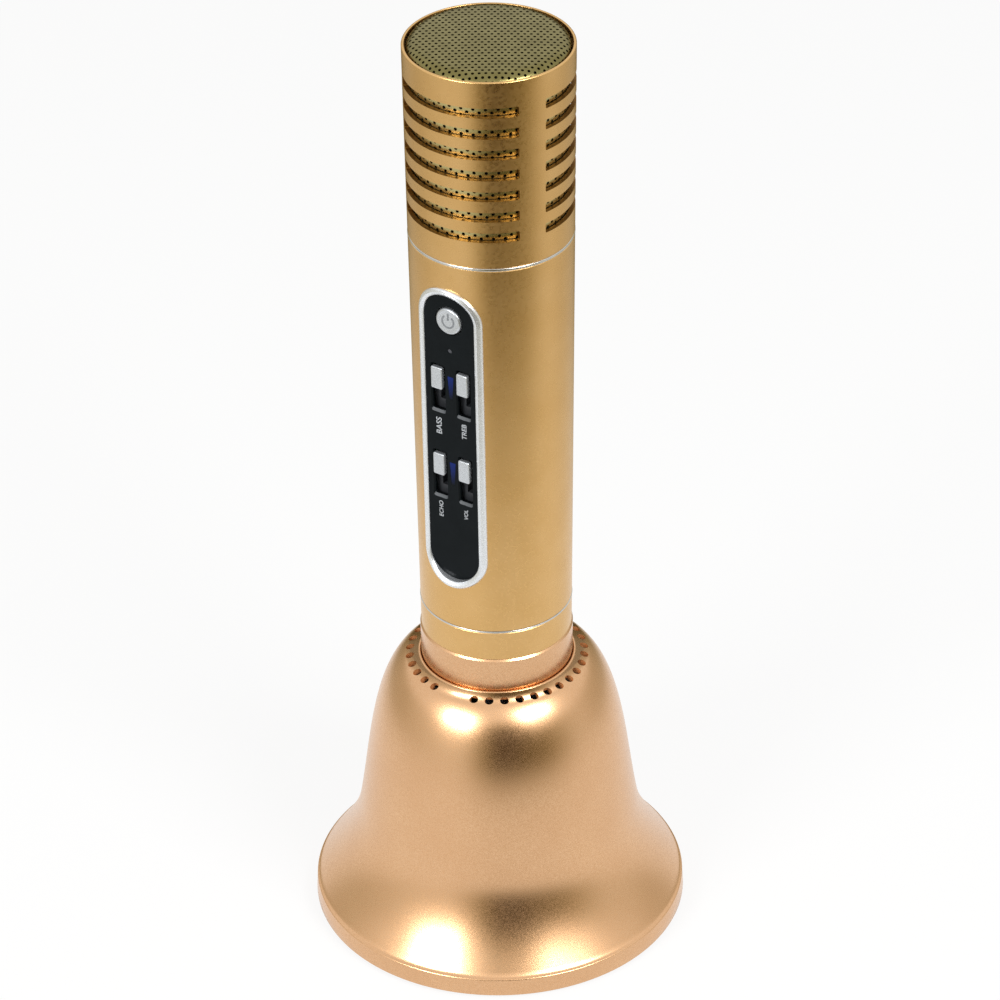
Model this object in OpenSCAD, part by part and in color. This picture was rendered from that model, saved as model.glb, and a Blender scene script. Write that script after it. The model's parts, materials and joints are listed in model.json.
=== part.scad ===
// Karaoke microphone with a bell-shaped loudspeaker base.
// Stands on its foot ring, +Z up, control panel facing -Y. Millimetres.

/* [Handle] */
// Outer radius at the open rim of the head
rim_r = 22; // [20:0.5:24]
// Outer radius at the foot of the handle tube
grip_r = 20.4; // [19:0.1:21.5]
// Wall of the handle tube
grip_wall = 1.5; // [1:0.1:2]
// Height of the handle tube's lower end
handle_z0 = 99.8; // [95:0.1:105]
// Height of the handle tube's upper end
handle_z1 = 210.7; // [205:0.1:215]

/* [Head] */
// Height of the head's rim
rim_z = 264.6; // [255:0.1:275]
// Wall of the head sleeve
head_wall = 1.2; // [0.8:0.1:1.5]
// Rows of sound slots
slot_rows = 7; // [5:1:7]
// Columns of sound slots
slot_columns = 3; // [2:1:4]
// Height of one slot
slot_h = 2.75; // [2:0.05:3.5]
// Distance from row to row
slot_pitch = 5.92; // [5:0.01:6]
// Height of the lowest row's middle
slot_z = 220.5; // [218:0.1:222]
// Solid angle between two slots of a row
slot_gap = 20; // [12:1:30]
// Turn of the sound slots and vent holes from the panel
slot_turn = 3.1; // [-10:0.1:10]
// Rise of the domed top grille over the rim
dome_rise = 1.5; // [0.5:0.1:3]

/* [Panel] */
// Width of the bezel
bezel_w = 19.3; // [18:0.1:20]
// Height of the bezel
bezel_h = 91.6; // [88:0.1:96]
// Height of the bezel's middle
bezel_z = 158; // [155:0.1:162]
// How far the flat plate lies below the tube's crown
plate_sink = 1.25; // [1:0.05:1.4]
// Width of the bezel's frame seen from the front
bezel_frame = 2; // [2:0.1:3.4]
// How far the bezel stands proud of the tube
bezel_proud = 1; // [0.5:0.1:1.2]
// Diameter of the power button
button_d = 7.5; // [6:0.1:9]
// Height of the power button
button_z = 193.7; // [192:0.1:197]
// Travel of the power button
button_travel = 0.5; // [0.2:0.05:0.8]
// Width of a slider cap
cap_w = 3.4; // [3:0.1:4]
// Height of a slider cap
cap_h = 6.5; // [6:0.1:8]
// Sideways distance of the sliders from the middle
slider_x = 3.9; // [3.5:0.05:4.2]
// Travel of the sliders
slider_travel = 6.4; // [4:0.1:6.5]
// Height of the upper pair's caps at rest
upper_pair_z = 175.7; // [175:0.1:179]
// Height of the lower pair's caps at rest
lower_pair_z = 149.3; // [148:0.1:152]

/* [Bell] */
// Radius of the lip at the floor
lip_r = 51.3; // [48:0.1:56]
// Height of the lip's upright band
lip_z = 6.3; // [5:0.1:8]
// Height of the bell's neck
neck_z = 80.5; // [78:0.1:84]
// Wall of the bell
bell_wall = 2.2; // [1.8:0.1:3]
// Diameter of a vent hole
vent_d = 2.4; // [1.5:0.1:3]
// Angle between vent holes
vent_step = 10; // [8:1:15]

/* [Loudspeaker] */
// Outer radius of the loudspeaker's flange
driver_r = 38.5; // [30:0.5:38.5]
// Radius of the voice coil's bore
coil_r = 9; // [8:0.1:10]
// Largest stroke of the cone, each way
cone_stroke = 1; // [0.5:0.1:1.5]

/* [Hidden] */

$fn = 96;
eps = 0.02;            // seam between faces that would otherwise coincide
slip = 0.3;            // clearance round a moving part
big = 400;             // longer than anything a cutter has to pass

lower_trim_z = 99.2;   // foot of the lower silver ring
band_z = 90.6;         // foot of the gold band
head_z0 = 211.6;       // foot of the head sleeve
collar_proud = 0.3;    // how far the neck collar stands out from the taper
core_r = 18.6;         // outside of the tube that joins handle and bell
core_wall = 2.6;
bore_r = core_r + 0.05;

mesh_gap = 1.5;        // depth of the side grille behind the sleeve's face
mesh_t = 0.5;          // sheet of the two grilles
dome_edge_r = 2.4;     // rolled edge of the top grille
rim_wall = 0.75;       // wall of the rim round the top grille
seat_depth = 2.2;      // from the rim down to the step that the top grille sits on

inner_w = bezel_w - 2 * bezel_frame;
inner_h = bezel_h - 2 * bezel_frame;
skirt_w = inner_w + 3.2;      // outside of the bezel's skirt, inside the tube's cut-out
skirt_h = inner_h + 3.2;
plate_w = inner_w + 1.5;
plate_h = inner_h + 1.5;
slot_w = cap_w + 0.5;
slot_l = cap_h + slider_travel + 0.7;
led_z = 184.6;
window_h = 7;
window_heights = [173.4, 147.1];
button_proud = 0.6;    // how far the button's face stands out from the plate
button_l = 3.9;        // from the button's face to the end of its stem
cap_proud = 0.8;       // how far a slider cap stands out from the plate

board_y = -12.6;       // front face of the main board
board_t = 1.2;
board_w = 23;
board_z0 = 124;
board_z1 = 199;
fader_w = 5.4;
fader_d = 4.6;
fader_l = 21;
lever_w = 1.2;
lever_tip_y = -14.6;

cell_r = 9.15;
cell_l = 65;
cell_y = 6.4;
cell_z = 128;
port_z = 113.5;
port_y = 9;

screw_count = 4;
base_screw_ring_r = 41.5;
driver_screw_ring_r = 36.6;

// Radius of the tapered outside at height z
function r_at(z) = grip_r + (rim_r - grip_r) * (z - handle_z0) / (rim_z - handle_z0);

// Distance of the plate's flat face from the axis at height z
function face_at(z) = r_at(z) - plate_sink;

// Point of a cubic curve through a and d, pulled towards b and c
function curve_point(a, b, c, d, t) =
    pow(1 - t, 3) * a + 3 * t * pow(1 - t, 2) * b + 3 * t * t * (1 - t) * c + pow(t, 3) * d;
function curve(a, b, c, d, steps) = [for (i = [0:steps]) curve_point(a, b, c, d, i / steps)];
// Points of an arc about c from angle a0 to a1
function arc(c, r, a0, a1, steps) =
    [for (i = [0:steps]) c + r * [cos(a0 + (a1 - a0) * i / steps), sin(a0 + (a1 - a0) * i / steps)]];

// Ring that follows the taper, between two offsets from the outside
module tapered_ring(z0, z1, inner, outer) {
    rotate_extrude()
        polygon([[r_at(z0) + inner, z0], [r_at(z0) + outer, z0],
                 [r_at(z1) + outer, z1], [r_at(z1) + inner, z1]]);
}

// Plain ring
module ring(z0, z1, inner_r, outer_r) {
    translate([0, 0, z0])
        difference() {
            cylinder(h = z1 - z0, r = outer_r);
            translate([0, 0, -1])
                cylinder(h = z1 - z0 + 2, r = inner_r);
        }
}

// Upright stadium outline, extruded from the axis towards -Y
module stadium_prism(w, h, middle_z, depth = 30) {
    translate([0, 0, middle_z])
        rotate([90, 0, 0])
            linear_extrude(depth) {
                square([w, h - w], center = true);
                for (s = [-1, 1])
                    translate([0, s * (h - w) / 2])
                        circle(d = w);
            }
}

// Slab across the panel that follows its slope, between two offsets from the plate's face
module panel_slab(back, front) {
    z0 = bezel_z - 60;
    z1 = bezel_z + 60;
    rotate([90, 0, 90])
        linear_extrude(60, center = true)
            polygon([[-face_at(z0) - front, z0], [-face_at(z0) - back, z0],
                     [-face_at(z1) - back, z1], [-face_at(z1) - front, z1]]);
}

// Block with its outer corners rounded, extruded from y0 towards -Y
module rounded_prism(w, h, corner, x, middle_z, y0, depth) {
    translate([x, y0, middle_z])
        rotate([90, 0, 0])
            linear_extrude(depth) {
                square([w - 2 * corner, h], center = true);
                square([w, h - 2 * corner], center = true);
                for (sx = [-1, 1], sz = [-1, 1])
                    translate([sx * (w / 2 - corner), sz * (h / 2 - corner)])
                        circle(r = corner, $fn = 32);
            }
}

// Copies its child round the axis
module around(count, start = 0) {
    for (i = [0:count - 1])
        rotate([0, 0, start + 360 * i / count])
            children();
}

// ---- Head ----

module sound_slots() {
    span = 360 / slot_columns - slot_gap;
    for (row = [0:slot_rows - 1], column = [0:slot_columns - 1])
        rotate([0, 0, slot_turn - 90 - span / 2 + 360 / slot_columns * column])
            rotate_extrude(angle = span)
                translate([rim_r - 4, slot_z + slot_pitch * row - slot_h / 2])
                    square([8, slot_h]);
}

module head_sleeve() {
    color("#C09A5A")
        difference() {
            rotate_extrude()
                polygon([[r_at(head_z0) - head_wall, head_z0], [r_at(head_z0) - 0.1, head_z0],
                         [r_at(head_z0), head_z0 + 0.15],
                         [rim_r, rim_z - 0.35], [rim_r - 0.35, rim_z],
                         [rim_r - rim_wall, rim_z], [rim_r - rim_wall, rim_z - seat_depth],
                         [rim_r - head_wall, rim_z - seat_depth]]);
            sound_slots();
        }
}

// Half outline of the domed top grille's sheet, offset inwards by t
function dome_outline(t) =
    let (edge = rim_r - rim_wall - 0.1, top = rim_z + dome_rise, corner = dome_edge_r)
    concat([[edge - t, rim_z - seat_depth + 0.1]],
           arc([edge - corner, top - 0.8 - corner], corner - t, 0, 84, 8),
           [[0, top - t]]);

module top_grille() {
    outer = dome_outline(0);
    inner = dome_outline(mesh_t);
    color("#A89A68")
        rotate_extrude()
            polygon(concat(outer, [for (i = [len(inner) - 1:-1:0]) inner[i]]));
}

module side_grille() {
    color("#B5A873")
        tapered_ring(head_z0 + 4, rim_z - 5.3, -mesh_gap - mesh_t, -mesh_gap);
}

module foam_liner() {
    color("#1C1C1C")
        rotate_extrude()
            polygon([[0, rim_z - 4.4], [0, rim_z - 1.2], [15, rim_z - 1.2], [17.5, rim_z - 4],
                     [18.6, rim_z - 8], [18.6, head_z0 + 8], [16.8, head_z0 + 8], [16.8, rim_z - 9],
                     [14, rim_z - 4.4]]);
}

module mic_capsule() {
    color("#8D8F90")
        rotate_extrude()
            polygon([[0, 240], [6.2, 240], [6.2, 241], [7, 241], [7, 250], [0, 250]]);
}

module capsule_face() {
    color("#D2D2CE")
        difference() {
            translate([0, 0, 250 + eps])
                cylinder(h = 0.8, r = 7);
            around(8)
                translate([3.6, 0, 249])
                    cylinder(h = 3, r = 0.8, $fn = 24);
            translate([0, 0, 249])
                cylinder(h = 3, r = 1, $fn = 24);
        }
}

module capsule_cradle() {
    color("#26282A")
        rotate_extrude()
            polygon([[7 + eps, 241.2], [12, 241.2], [12, 243], [9, 243.8], [9, 247.2], [12, 248],
                     [12, 249.6], [7 + eps, 249.6]]);
}

// Cage that carries the capsule over the handle
module capsule_holder() {
    color("#2B2D30") {
        difference() {
            translate([0, 0, head_z0 + 2])
                cylinder(h = 2, r = 18);
            translate([0, 0, head_z0 + 1])
                cylinder(h = 4, r = 4);
        }
        around(3, 30)
            translate([14, -1.6, head_z0 + 3])
                cube([1.8, 3.2, 247 - head_z0]);
        ring(241.2, 249.6, 12 + eps, 14.2);
    }
}

module head_thread_ring() {
    color("#3A3C40")
        rotate_extrude()
            polygon([[15.5, 203.4], [r_at(203.4) - grip_wall - 0.1, 203.4],
                     [r_at(210) - grip_wall - 0.1, 210.6], [r_at(210) - grip_wall - 0.1, head_z0 + eps],
                     [r_at(head_z0) - head_wall - 0.05, head_z0 + eps],
                     [r_at(head_z0) - head_wall - 0.05, head_z0 + 3.6],
                     [18.05, head_z0 + 3.6], [18.05, head_z0 + 2 - eps], [15.5, head_z0 + 2 - eps]]);
}

module upper_trim_ring() {
    color("#D9D9D6")
        rotate_extrude()
            polygon([[r_at(211) - grip_wall, handle_z1 + eps], [r_at(211) - 0.1, handle_z1 + eps],
                     [r_at(211) + 0.05, handle_z1 + 0.2], [r_at(211) + 0.05, head_z0 - 0.2],
                     [r_at(211) - 0.1, head_z0 - eps], [r_at(211) - grip_wall, head_z0 - eps]]);
}

// ---- Handle ----

module handle_tube() {
    color("#C6A062")
        difference() {
            tapered_ring(handle_z0, handle_z1, -grip_wall, 0);
            stadium_prism(skirt_w + 0.1, skirt_h + 0.1, bezel_z);
            rounded_prism(8.4, 3.4, 1.6, -5, port_z, 30, 20);
            translate([5, 0, port_z])
                rotate([-90, 0, 0])
                    cylinder(h = 30, r = 2.6);
        }
}

module panel_bezel() {
    color("#C9C9C6")
        difference() {
            union() {
                intersection() {
                    tapered_ring(bezel_z - 60, bezel_z + 60, eps, bezel_proud);
                    stadium_prism(bezel_w, bezel_h, bezel_z);
                }
                intersection() {
                    tapered_ring(bezel_z - 60, bezel_z + 60, -grip_wall, 2 * eps);
                    stadium_prism(skirt_w, skirt_h, bezel_z);
                }
            }
            stadium_prism(inner_w, inner_h, bezel_z, 40);
            intersection() {
                panel_slab(-15, eps);
                stadium_prism(plate_w + 0.06, plate_h + 0.06, bezel_z, 40);
            }
        }
}

// Middle of the slot that a slider runs in, from its rest height
function slot_middle(z) = z - slider_travel / 2;

module panel_plate() {
    color("#16181B")
        difference() {
            intersection() {
                panel_slab(-1.1, 0);
                stadium_prism(plate_w, plate_h, bezel_z);
            }
            for (z = [upper_pair_z, lower_pair_z], s = [-1, 1])
                rounded_prism(slot_w, slot_l, 0.5, s * slider_x, slot_middle(z), -10, 20);
            translate([0, -10, button_z])
                rotate([90, 0, 0])
                    cylinder(h = 20, d = button_d + 0.5);
            translate([0, -10, led_z])
                rotate([90, 0, 0])
                    cylinder(h = 20, r = 0.65, $fn = 32);
            for (z = window_heights)
                rounded_prism(1.6, window_h, 0.4, 0, z, -10, 20);
        }
}

module power_button() {
    face_y = -(face_at(button_z) + button_proud);
    color("#CFCFCC")
        translate([0, face_y, button_z])
            rotate([-90, 0, 0])
                rotate_extrude()
                    polygon(concat([[0, 0]], arc([button_d / 2 - 0.6, 0.6], 0.6, -90, 0, 6),
                                   [[button_d / 2, 2.6], [button_d / 2 + 0.8, 2.6],
                                    [button_d / 2 + 0.8, 3.4], [1.6, 3.4], [1.6, button_l], [0, button_l]]));
}

module switch_plunger() {
    top_y = -(face_at(button_z) + button_proud) + button_l;
    color("#E4E4E0")
        translate([0, top_y + eps, button_z])
            rotate([-90, 0, 0])
                cylinder(h = -14.9 - top_y, r = 1.5);
}

module switch_body() {
    color("#3C3E42")
        difference() {
            translate([-3, -16, button_z - 3])
                cube([6, 16 + board_y - eps, 6]);
            translate([0, -14, button_z])
                rotate([90, 0, 0])
                    cylinder(h = 10, r = 1.5 + slip);
        }
}

// Cap, neck and lever of one slider; x is signed
module slider(x, z) {
    color("#D4D4D1") {
        intersection() {
            rounded_prism(cap_w, cap_h, 0.45, x, z, -18, 10);
            panel_slab(-6, cap_proud);
        }
        translate([x - lever_w / 2, lever_tip_y - 4, z - 1])
            cube([lever_w, 4, 2]);
    }
}

// Body of one fader, with the groove that its lever runs in
module fader(x, z) {
    color("#7E8286")
        difference() {
            translate([x - fader_w / 2, board_y - fader_d, slot_middle(z) - fader_l / 2])
                cube([fader_w, fader_d - eps, fader_l]);
            translate([x - lever_w / 2 - slip, board_y - fader_d - 1, slot_middle(z) - slider_travel / 2 - 1.6])
                cube([lever_w + 2 * slip, 1 + lever_tip_y + slip - (board_y - fader_d),
                      slider_travel + 3.2]);
        }
}

module bass_slider() { slider(-slider_x, upper_pair_z); }
module treble_slider() { slider(slider_x, upper_pair_z); }
module echo_slider() { slider(-slider_x, lower_pair_z); }
module volume_slider() { slider(slider_x, lower_pair_z); }
module bass_fader() { fader(-slider_x, upper_pair_z); }
module treble_fader() { fader(slider_x, upper_pair_z); }
module echo_fader() { fader(-slider_x, lower_pair_z); }
module volume_fader() { fader(slider_x, lower_pair_z); }

module status_led() {
    color("#DDE6F2")
        translate([0, board_y - eps, led_z])
            rotate([90, 0, 0])
                cylinder(h = face_at(led_z) - 0.15 + board_y, r = 0.6, $fn = 32);
}

module light_windows() {
    color("#7FA6C8")
        for (z = window_heights)
            intersection() {
                rounded_prism(1.5, window_h - 0.1, 0.35, 0, z, -10, 20);
                panel_slab(-2.2, -0.05);
            }
}

module main_board() {
    color("#1F5B3A")
        difference() {
            translate([-board_w / 2, board_y, board_z0])
                cube([board_w, board_t, board_z1 - board_z0]);
            board_screw_spots()
                cylinder(h = 10, r = 1.1, center = true, $fn = 32);
        }
}

module board_screw_spots() {
    for (x = [-9.8, 9.8], z = [board_z0 + 4, board_z1 - 4])
        translate([x, board_y, z])
            rotate([90, 0, 0])
                children();
}

module board_chips() {
    color("#202225") {
        translate([-4.5, board_y - 1.4 - eps, 126])
            cube([9, 1.4, 9]);
        translate([-8, board_y + board_t + eps, 188])
            cube([7, 1.6, 7]);
        translate([2, board_y + board_t + eps, 191])
            cube([5, 1.6, 5]);
    }
}

module board_screws() {
    color("#B9BBBD")
        board_screw_spots() {
            translate([0, 0, eps])
                cylinder(h = 1.2, r = 1.9, $fn = 32);
            translate([0, 0, -4.6])
                cylinder(h = 4.7, r = 0.95, $fn = 32);
        }
}

// Half tube behind the board, with a rail down each side that the board is screwed to
module inner_chassis() {
    back_y = board_y + board_t + eps;
    color("#303338")
        difference() {
            union() {
                intersection() {
                    tapered_ring(104, board_z1, -grip_wall - 1.7, -grip_wall - 0.2);
                    translate([-30, back_y, 0])
                        cube([60, 60, big]);
                }
                for (s = [-1, 1])
                    translate([s * 10.2 - 1.9, back_y, board_z0])
                        cube([3.8, 4, board_z1 - board_z0]);
                for (s = [-1, 1], z = [board_z0, board_z1 - 3])
                    translate([s * 12.9 - 2.1, back_y, z])
                        cube([4.2, 2, 3]);
            }
            board_screw_spots()
                cylinder(h = 12, r = 1, center = true, $fn = 32);
            translate([-10, 5, port_z - 5])
                cube([20, 30, 10]);
        }
}

module battery_cell() {
    color("#3C6E9E")
        translate([0, cell_y, cell_z])
            rotate_extrude()
                polygon([[0, 0], [cell_r - 0.4, 0], [cell_r, 0.4], [cell_r, cell_l - 0.8],
                         [cell_r - 0.8, cell_l], [3.2, cell_l], [3.2, cell_l + 1], [0, cell_l + 1]]);
}

module battery_cradle() {
    color("#25272A")
        translate([0, cell_y, 0])
            difference() {
                translate([0, 0, cell_z - 4])
                    cylinder(h = cell_l + 9, r = cell_r + 1.4);
                translate([0, 0, cell_z - 2.4])
                    cylinder(h = cell_l + 5.8, r = cell_r + 0.1);
                translate([-20, -20, cell_z - 2.4])
                    cube([40, 18, cell_l + 5.8]);
            }
}

module battery_contacts() {
    color("#C8CACB")
        translate([0, cell_y, 0]) {
            translate([0, 0, cell_z + cell_l + 1 + eps])
                cylinder(h = 1.8, r = 4);
            translate([0, 0, cell_z - 2.2])
                cylinder(h = 2.2 - eps, r1 = 5, r2 = 3);
        }
}

module port_board() {
    color("#1F5B3A")
        translate([-10, port_y, port_z - 7])
            cube([20, board_t, 14]);
}

module charging_socket() {
    color("#B4B6B8")
        translate([-5, port_y + board_t + eps, port_z])
            difference() {
                translate([-3.9, 0, -1.4])
                    cube([7.8, 6, 2.8]);
                translate([-3.2, 1.4, -0.9])
                    cube([6.4, 10, 1.8]);
            }
}

module audio_socket() {
    color("#34363A")
        translate([5, port_y + board_t + eps, port_z])
            rotate([-90, 0, 0])
                difference() {
                    union() {
                        cylinder(h = 6.2, r = 3.6);
                        cylinder(h = 9.2, r = 2.5);
                    }
                    translate([0, 0, 0.8])
                        cylinder(h = 20, r = 1.8);
                }
}

module lower_trim_ring() {
    color("#D9D9D6")
        rotate_extrude()
            polygon([[bore_r, lower_trim_z], [r_at(lower_trim_z) - 0.05, lower_trim_z],
                     [r_at(lower_trim_z) + 0.08, lower_trim_z + 0.12],
                     [r_at(lower_trim_z) + 0.08, handle_z0 - 0.14],
                     [r_at(lower_trim_z) - 0.05, handle_z0 - eps], [bore_r, handle_z0 - eps]]);
}

module lower_band() {
    color("#C6A062")
        rotate_extrude()
            polygon([[bore_r, band_z], [r_at(band_z) - 0.15, band_z], [r_at(band_z), band_z + 0.15],
                     [r_at(lower_trim_z), lower_trim_z - eps], [bore_r, lower_trim_z - eps]]);
}

// ---- Neck ----

module neck_collar() {
    foot = r_at(neck_z) + collar_proud;
    head = r_at(band_z) + collar_proud;
    color("#D8B48C")
        rotate_extrude()
            polygon([[bore_r, neck_z], [foot - 0.2, neck_z], [foot, neck_z + 0.2],
                     [head, band_z - 0.5], [head - 0.4, band_z - eps], [bore_r, band_z - eps]]);
}

module neck_core() {
    color("#2E3034")
        rotate_extrude()
            polygon([[core_r - core_wall, 70], [core_r, 70], [core_r, handle_z0],
                     [r_at(handle_z0) - grip_wall - 0.05, handle_z0 + eps],
                     [r_at(103.5) - grip_wall - 0.05, 103.5], [core_r - core_wall, 103.5]]);
}

module neck_nut() {
    color("#9A9C9E")
        difference() {
            translate([0, 0, 71])
                cylinder(h = 5.2, r = 22);
            translate([0, 0, 70])
                cylinder(h = 8, r = bore_r);
            around(4)
                translate([21, -1.5, 70])
                    cube([4, 3, 8]);
        }
}

// ---- Bell ----

flare_top = [38.5, 30];         // where the flare runs into the waist
shoulder_top = [24.9, 79.2];    // where the shoulder runs into the neck
lip_top = [lip_r - 0.3, lip_z];

// Outline of the bell from the lip's upper edge to the shoulder's top
function bell_side() = concat(
    curve(lip_top, [46.2, 12.3], [40.4, 20], flare_top, 14),
    curve(flare_top, [35.2, 48], [34.6, 71.5], shoulder_top, 18));

// Where the vents' middles lie: out from the axis and up
vent_spot = [23.7, 79.4];

module bell_shell() {
    side = bell_side();
    inner_shift = [-bell_wall, -1.5];
    inside = [for (i = [len(side) - 1:-1:0]) side[i] + inner_shift];
    bead = [21.05, neck_z - 0.1];
    color("#D8AE80")
        difference() {
            union() {
                rotate_extrude()
                    polygon(concat(
                        [[lip_r - 2.6, 0.6], [lip_r - 0.6, 0.6]],
                        arc([lip_r - 0.6, 1.2], 0.6, -60, 0, 3),
                        side,
                        arc(bead, 0.4, 0, 170, 6),
                        [[20.62, neck_z - 1], [bore_r, neck_z - 1], [bore_r, 76.4]],
                        [inside[0] + [-1.2, -1.3]],
                        inside,
                        [[lip_r - 2.6, lip_z - 2]]));
                around(screw_count, 45)
                    translate([base_screw_ring_r, 0, 5.4])
                        cylinder(h = 13, r = 2.3, $fn = 32);
            }
            // trims the screw posts flush with the inside of the flare
            bell_outside_cutter(side);
            around(screw_count, 45)
                translate([base_screw_ring_r, 0, 4])
                    cylinder(h = 9, r = 1, $fn = 32);
            for (i = [0:15], s = [-1, 1])
                rotate([0, 0, slot_turn + s * (15 + vent_step * i)])
                    translate([0, -vent_spot.x, vent_spot.y])
                        rotate([30, 0, 0])
                            cylinder(h = 12, d = vent_d, center = true, $fn = 32);
        }
}

// Everything outside the flare, up to the waist
module bell_outside_cutter(side) {
    flare = [for (i = [0:14]) side[i]];
    rotate_extrude()
        polygon(concat(flare, [[60, flare_top.y], [60, lip_z]]));
}

// ---- Loudspeaker, facing down ----

module driver_gasket() {
    color("#2A2A2A")
        difference() {
            ring(5.6, 6.6 - eps, 34.2, driver_r);
            around(screw_count)
                translate([driver_screw_ring_r, 0, 5])
                    cylinder(h = 3, r = 1.1, $fn = 32);
        }
}

module driver_basket() {
    color("#4A4D51") {
        difference() {
            rotate_extrude()
                polygon([[33.6, 6.6], [driver_r, 6.6], [driver_r, 8], [34.6, 8], [31.5, 14],
                         [23, 28], [21, 30.4], [12, 30.4], [12, 28.8], [20, 28.8], [22, 27],
                         [30.2, 14], [33.6, 8.4]]);
            around(6)
                translate([14, -6, 11])
                    cube([30, 12, 15]);
            around(screw_count)
                translate([driver_screw_ring_r, 0, 5])
                    cylinder(h = 5, r = 1.1, $fn = 32);
        }
        spider_seat();
    }
}

// Step that the spider is glued to
module spider_seat() {
    ring(26.4, 28.9, 18.2, 21);
}

module driver_top_plate() {
    color("#8A8C8E")
        ring(30.4 + eps, 33.4, coil_r + 1.1, 20);
}

module driver_magnet() {
    color("#3B3B3D")
        ring(33.4 + eps, 43.4, 12, 23);
}

module driver_yoke() {
    color("#8A8C8E") {
        translate([0, 0, 43.4 + eps])
            cylinder(h = 3.6, r = 20);
        translate([0, 0, 29])
            cylinder(h = 15, r = coil_r - 0.5);
    }
}

module voice_coil() {
    color("#B5713A")
        ring(19.4, 35, coil_r, coil_r + 0.6);
}

module speaker_cone() {
    color("#202124")
        rotate_extrude()
            polygon([[coil_r + 0.6 + eps, 20.6], [27.2, 8.2], [28.6, 8.2], [28.6, 8.9], [27.7, 8.9],
                     [coil_r + 0.6 + eps, 21.5]]);
}

module dust_cap() {
    rise = 4;
    sphere_r = (coil_r * coil_r + rise * rise) / (2 * rise);
    color("#141518")
        difference() {
            intersection() {
                translate([0, 0, 19.2 - rise + sphere_r])
                    sphere(r = sphere_r);
                translate([0, 0, 19.2 - rise - 1])
                    cylinder(h = rise + 1 - eps, r = coil_r + 0.5);
            }
            translate([0, 0, 19.2 - rise + sphere_r])
                sphere(r = sphere_r - 0.5);
        }
}

module cone_surround() {
    mid = (28.8 + 33.4) / 2;
    roll = (33.4 - 28.8) / 2;
    color("#101113")
        rotate_extrude()
            polygon(concat(arc([mid, 8.1], roll, 0, -180, 12), arc([mid, 8.1], roll - 0.5, -180, 0, 12)));
}

module cone_spider() {
    steps = 24;
    inner_r = coil_r + 0.9;
    outer_r = 18;
    wave = [for (i = [0:steps])
        [inner_r + (outer_r - inner_r) * i / steps, 26 + 0.5 * sin(360 * 4 * i / steps)]];
    color("#C7A45A")
        rotate_extrude()
            polygon(concat(wave, [for (i = [steps:-1:0]) wave[i] + [0, 0.35]]));
}

module driver_screws() {
    color("#B9BBBD")
        around(screw_count)
            translate([driver_screw_ring_r, 0, 0]) {
                translate([0, 0, 8 + eps])
                    cylinder(h = 1.4, r = 1.7, $fn = 32);
                translate([0, 0, 2.6])
                    cylinder(h = 5.5, r = 0.95, $fn = 32);
            }
}

// ---- Base ----

module speaker_grille() {
    color("#55585C")
        difference() {
            translate([0, 0, 4.6 + eps])
                cylinder(h = 0.9, r = driver_r);
            around(screw_count)
                translate([driver_screw_ring_r, 0, 4])
                    cylinder(h = 3, r = 1.1, $fn = 32);
        }
}

module base_plate() {
    color("#2A2C30")
        difference() {
            translate([0, 0, 1.8])
                cylinder(h = 2.8, r = lip_r - 2.7);
            translate([0, 0, 1])
                cylinder(h = 5, r = 33.6);
            ring(1, 2.4, 44, 47.6);
            around(screw_count, 45)
                translate([base_screw_ring_r, 0, 0])
                    cylinder(h = 6, r = 1.15, $fn = 32);
            around(screw_count, 45)
                translate([base_screw_ring_r, 0, 1])
                    cylinder(h = 2.2, r = 2.15, $fn = 32);
            around(screw_count)
                translate([driver_screw_ring_r, 0, 2.4])
                    cylinder(h = 5, r = 1, $fn = 32);
        }
}

module base_screws() {
    color("#B9BBBD")
        around(screw_count, 45)
            translate([base_screw_ring_r, 0, 0]) {
                translate([0, 0, 1.9])
                    cylinder(h = 1.28, r = 2, $fn = 32);
                translate([0, 0, 3])
                    cylinder(h = 8.5, r = 0.95, $fn = 32);
            }
}

module foot_ring() {
    color("#1D1E20")
        rotate_extrude()
            polygon([[44.1, 2.38], [44.1, 0.6], [44.7, 0], [46.9, 0], [47.5, 0.6], [47.5, 2.38]]);
}

// The pair of wires from the board down to the loudspeaker
module speaker_leads() {
    for (s = [-1, 1])
        color(s < 0 ? "#B03A32" : "#26282B")
            translate([s * 1.2, -10.6, 48])
                cylinder(h = 76, r = 0.7, $fn = 24);
}

head_sleeve();
top_grille();
side_grille();
foam_liner();
mic_capsule();
capsule_face();
capsule_cradle();
capsule_holder();
head_thread_ring();
upper_trim_ring();
handle_tube();
panel_bezel();
panel_plate();
power_button();
switch_plunger();
switch_body();
bass_slider();
treble_slider();
echo_slider();
volume_slider();
bass_fader();
treble_fader();
echo_fader();
volume_fader();
status_led();
light_windows();
main_board();
board_chips();
board_screws();
inner_chassis();
battery_cell();
battery_cradle();
battery_contacts();
port_board();
charging_socket();
audio_socket();
lower_trim_ring();
lower_band();
neck_collar();
neck_core();
neck_nut();
bell_shell();
driver_basket();
driver_top_plate();
driver_magnet();
driver_yoke();
voice_coil();
speaker_cone();
dust_cap();
cone_surround();
cone_spider();
driver_gasket();
driver_screws();
speaker_grille();
base_plate();
base_screws();
foot_ring();
speaker_leads();
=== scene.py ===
"""Karaoke microphone with a bell-shaped loudspeaker base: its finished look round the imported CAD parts.

Lengths are in millimetres until a mesh is made. The panel faces -Y and +Z is up.
"""
import json
import math

import bpy
import numpy as np
from mathutils import Matrix, Vector
from mathutils.geometry import delaunay_2d_cdt


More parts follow.
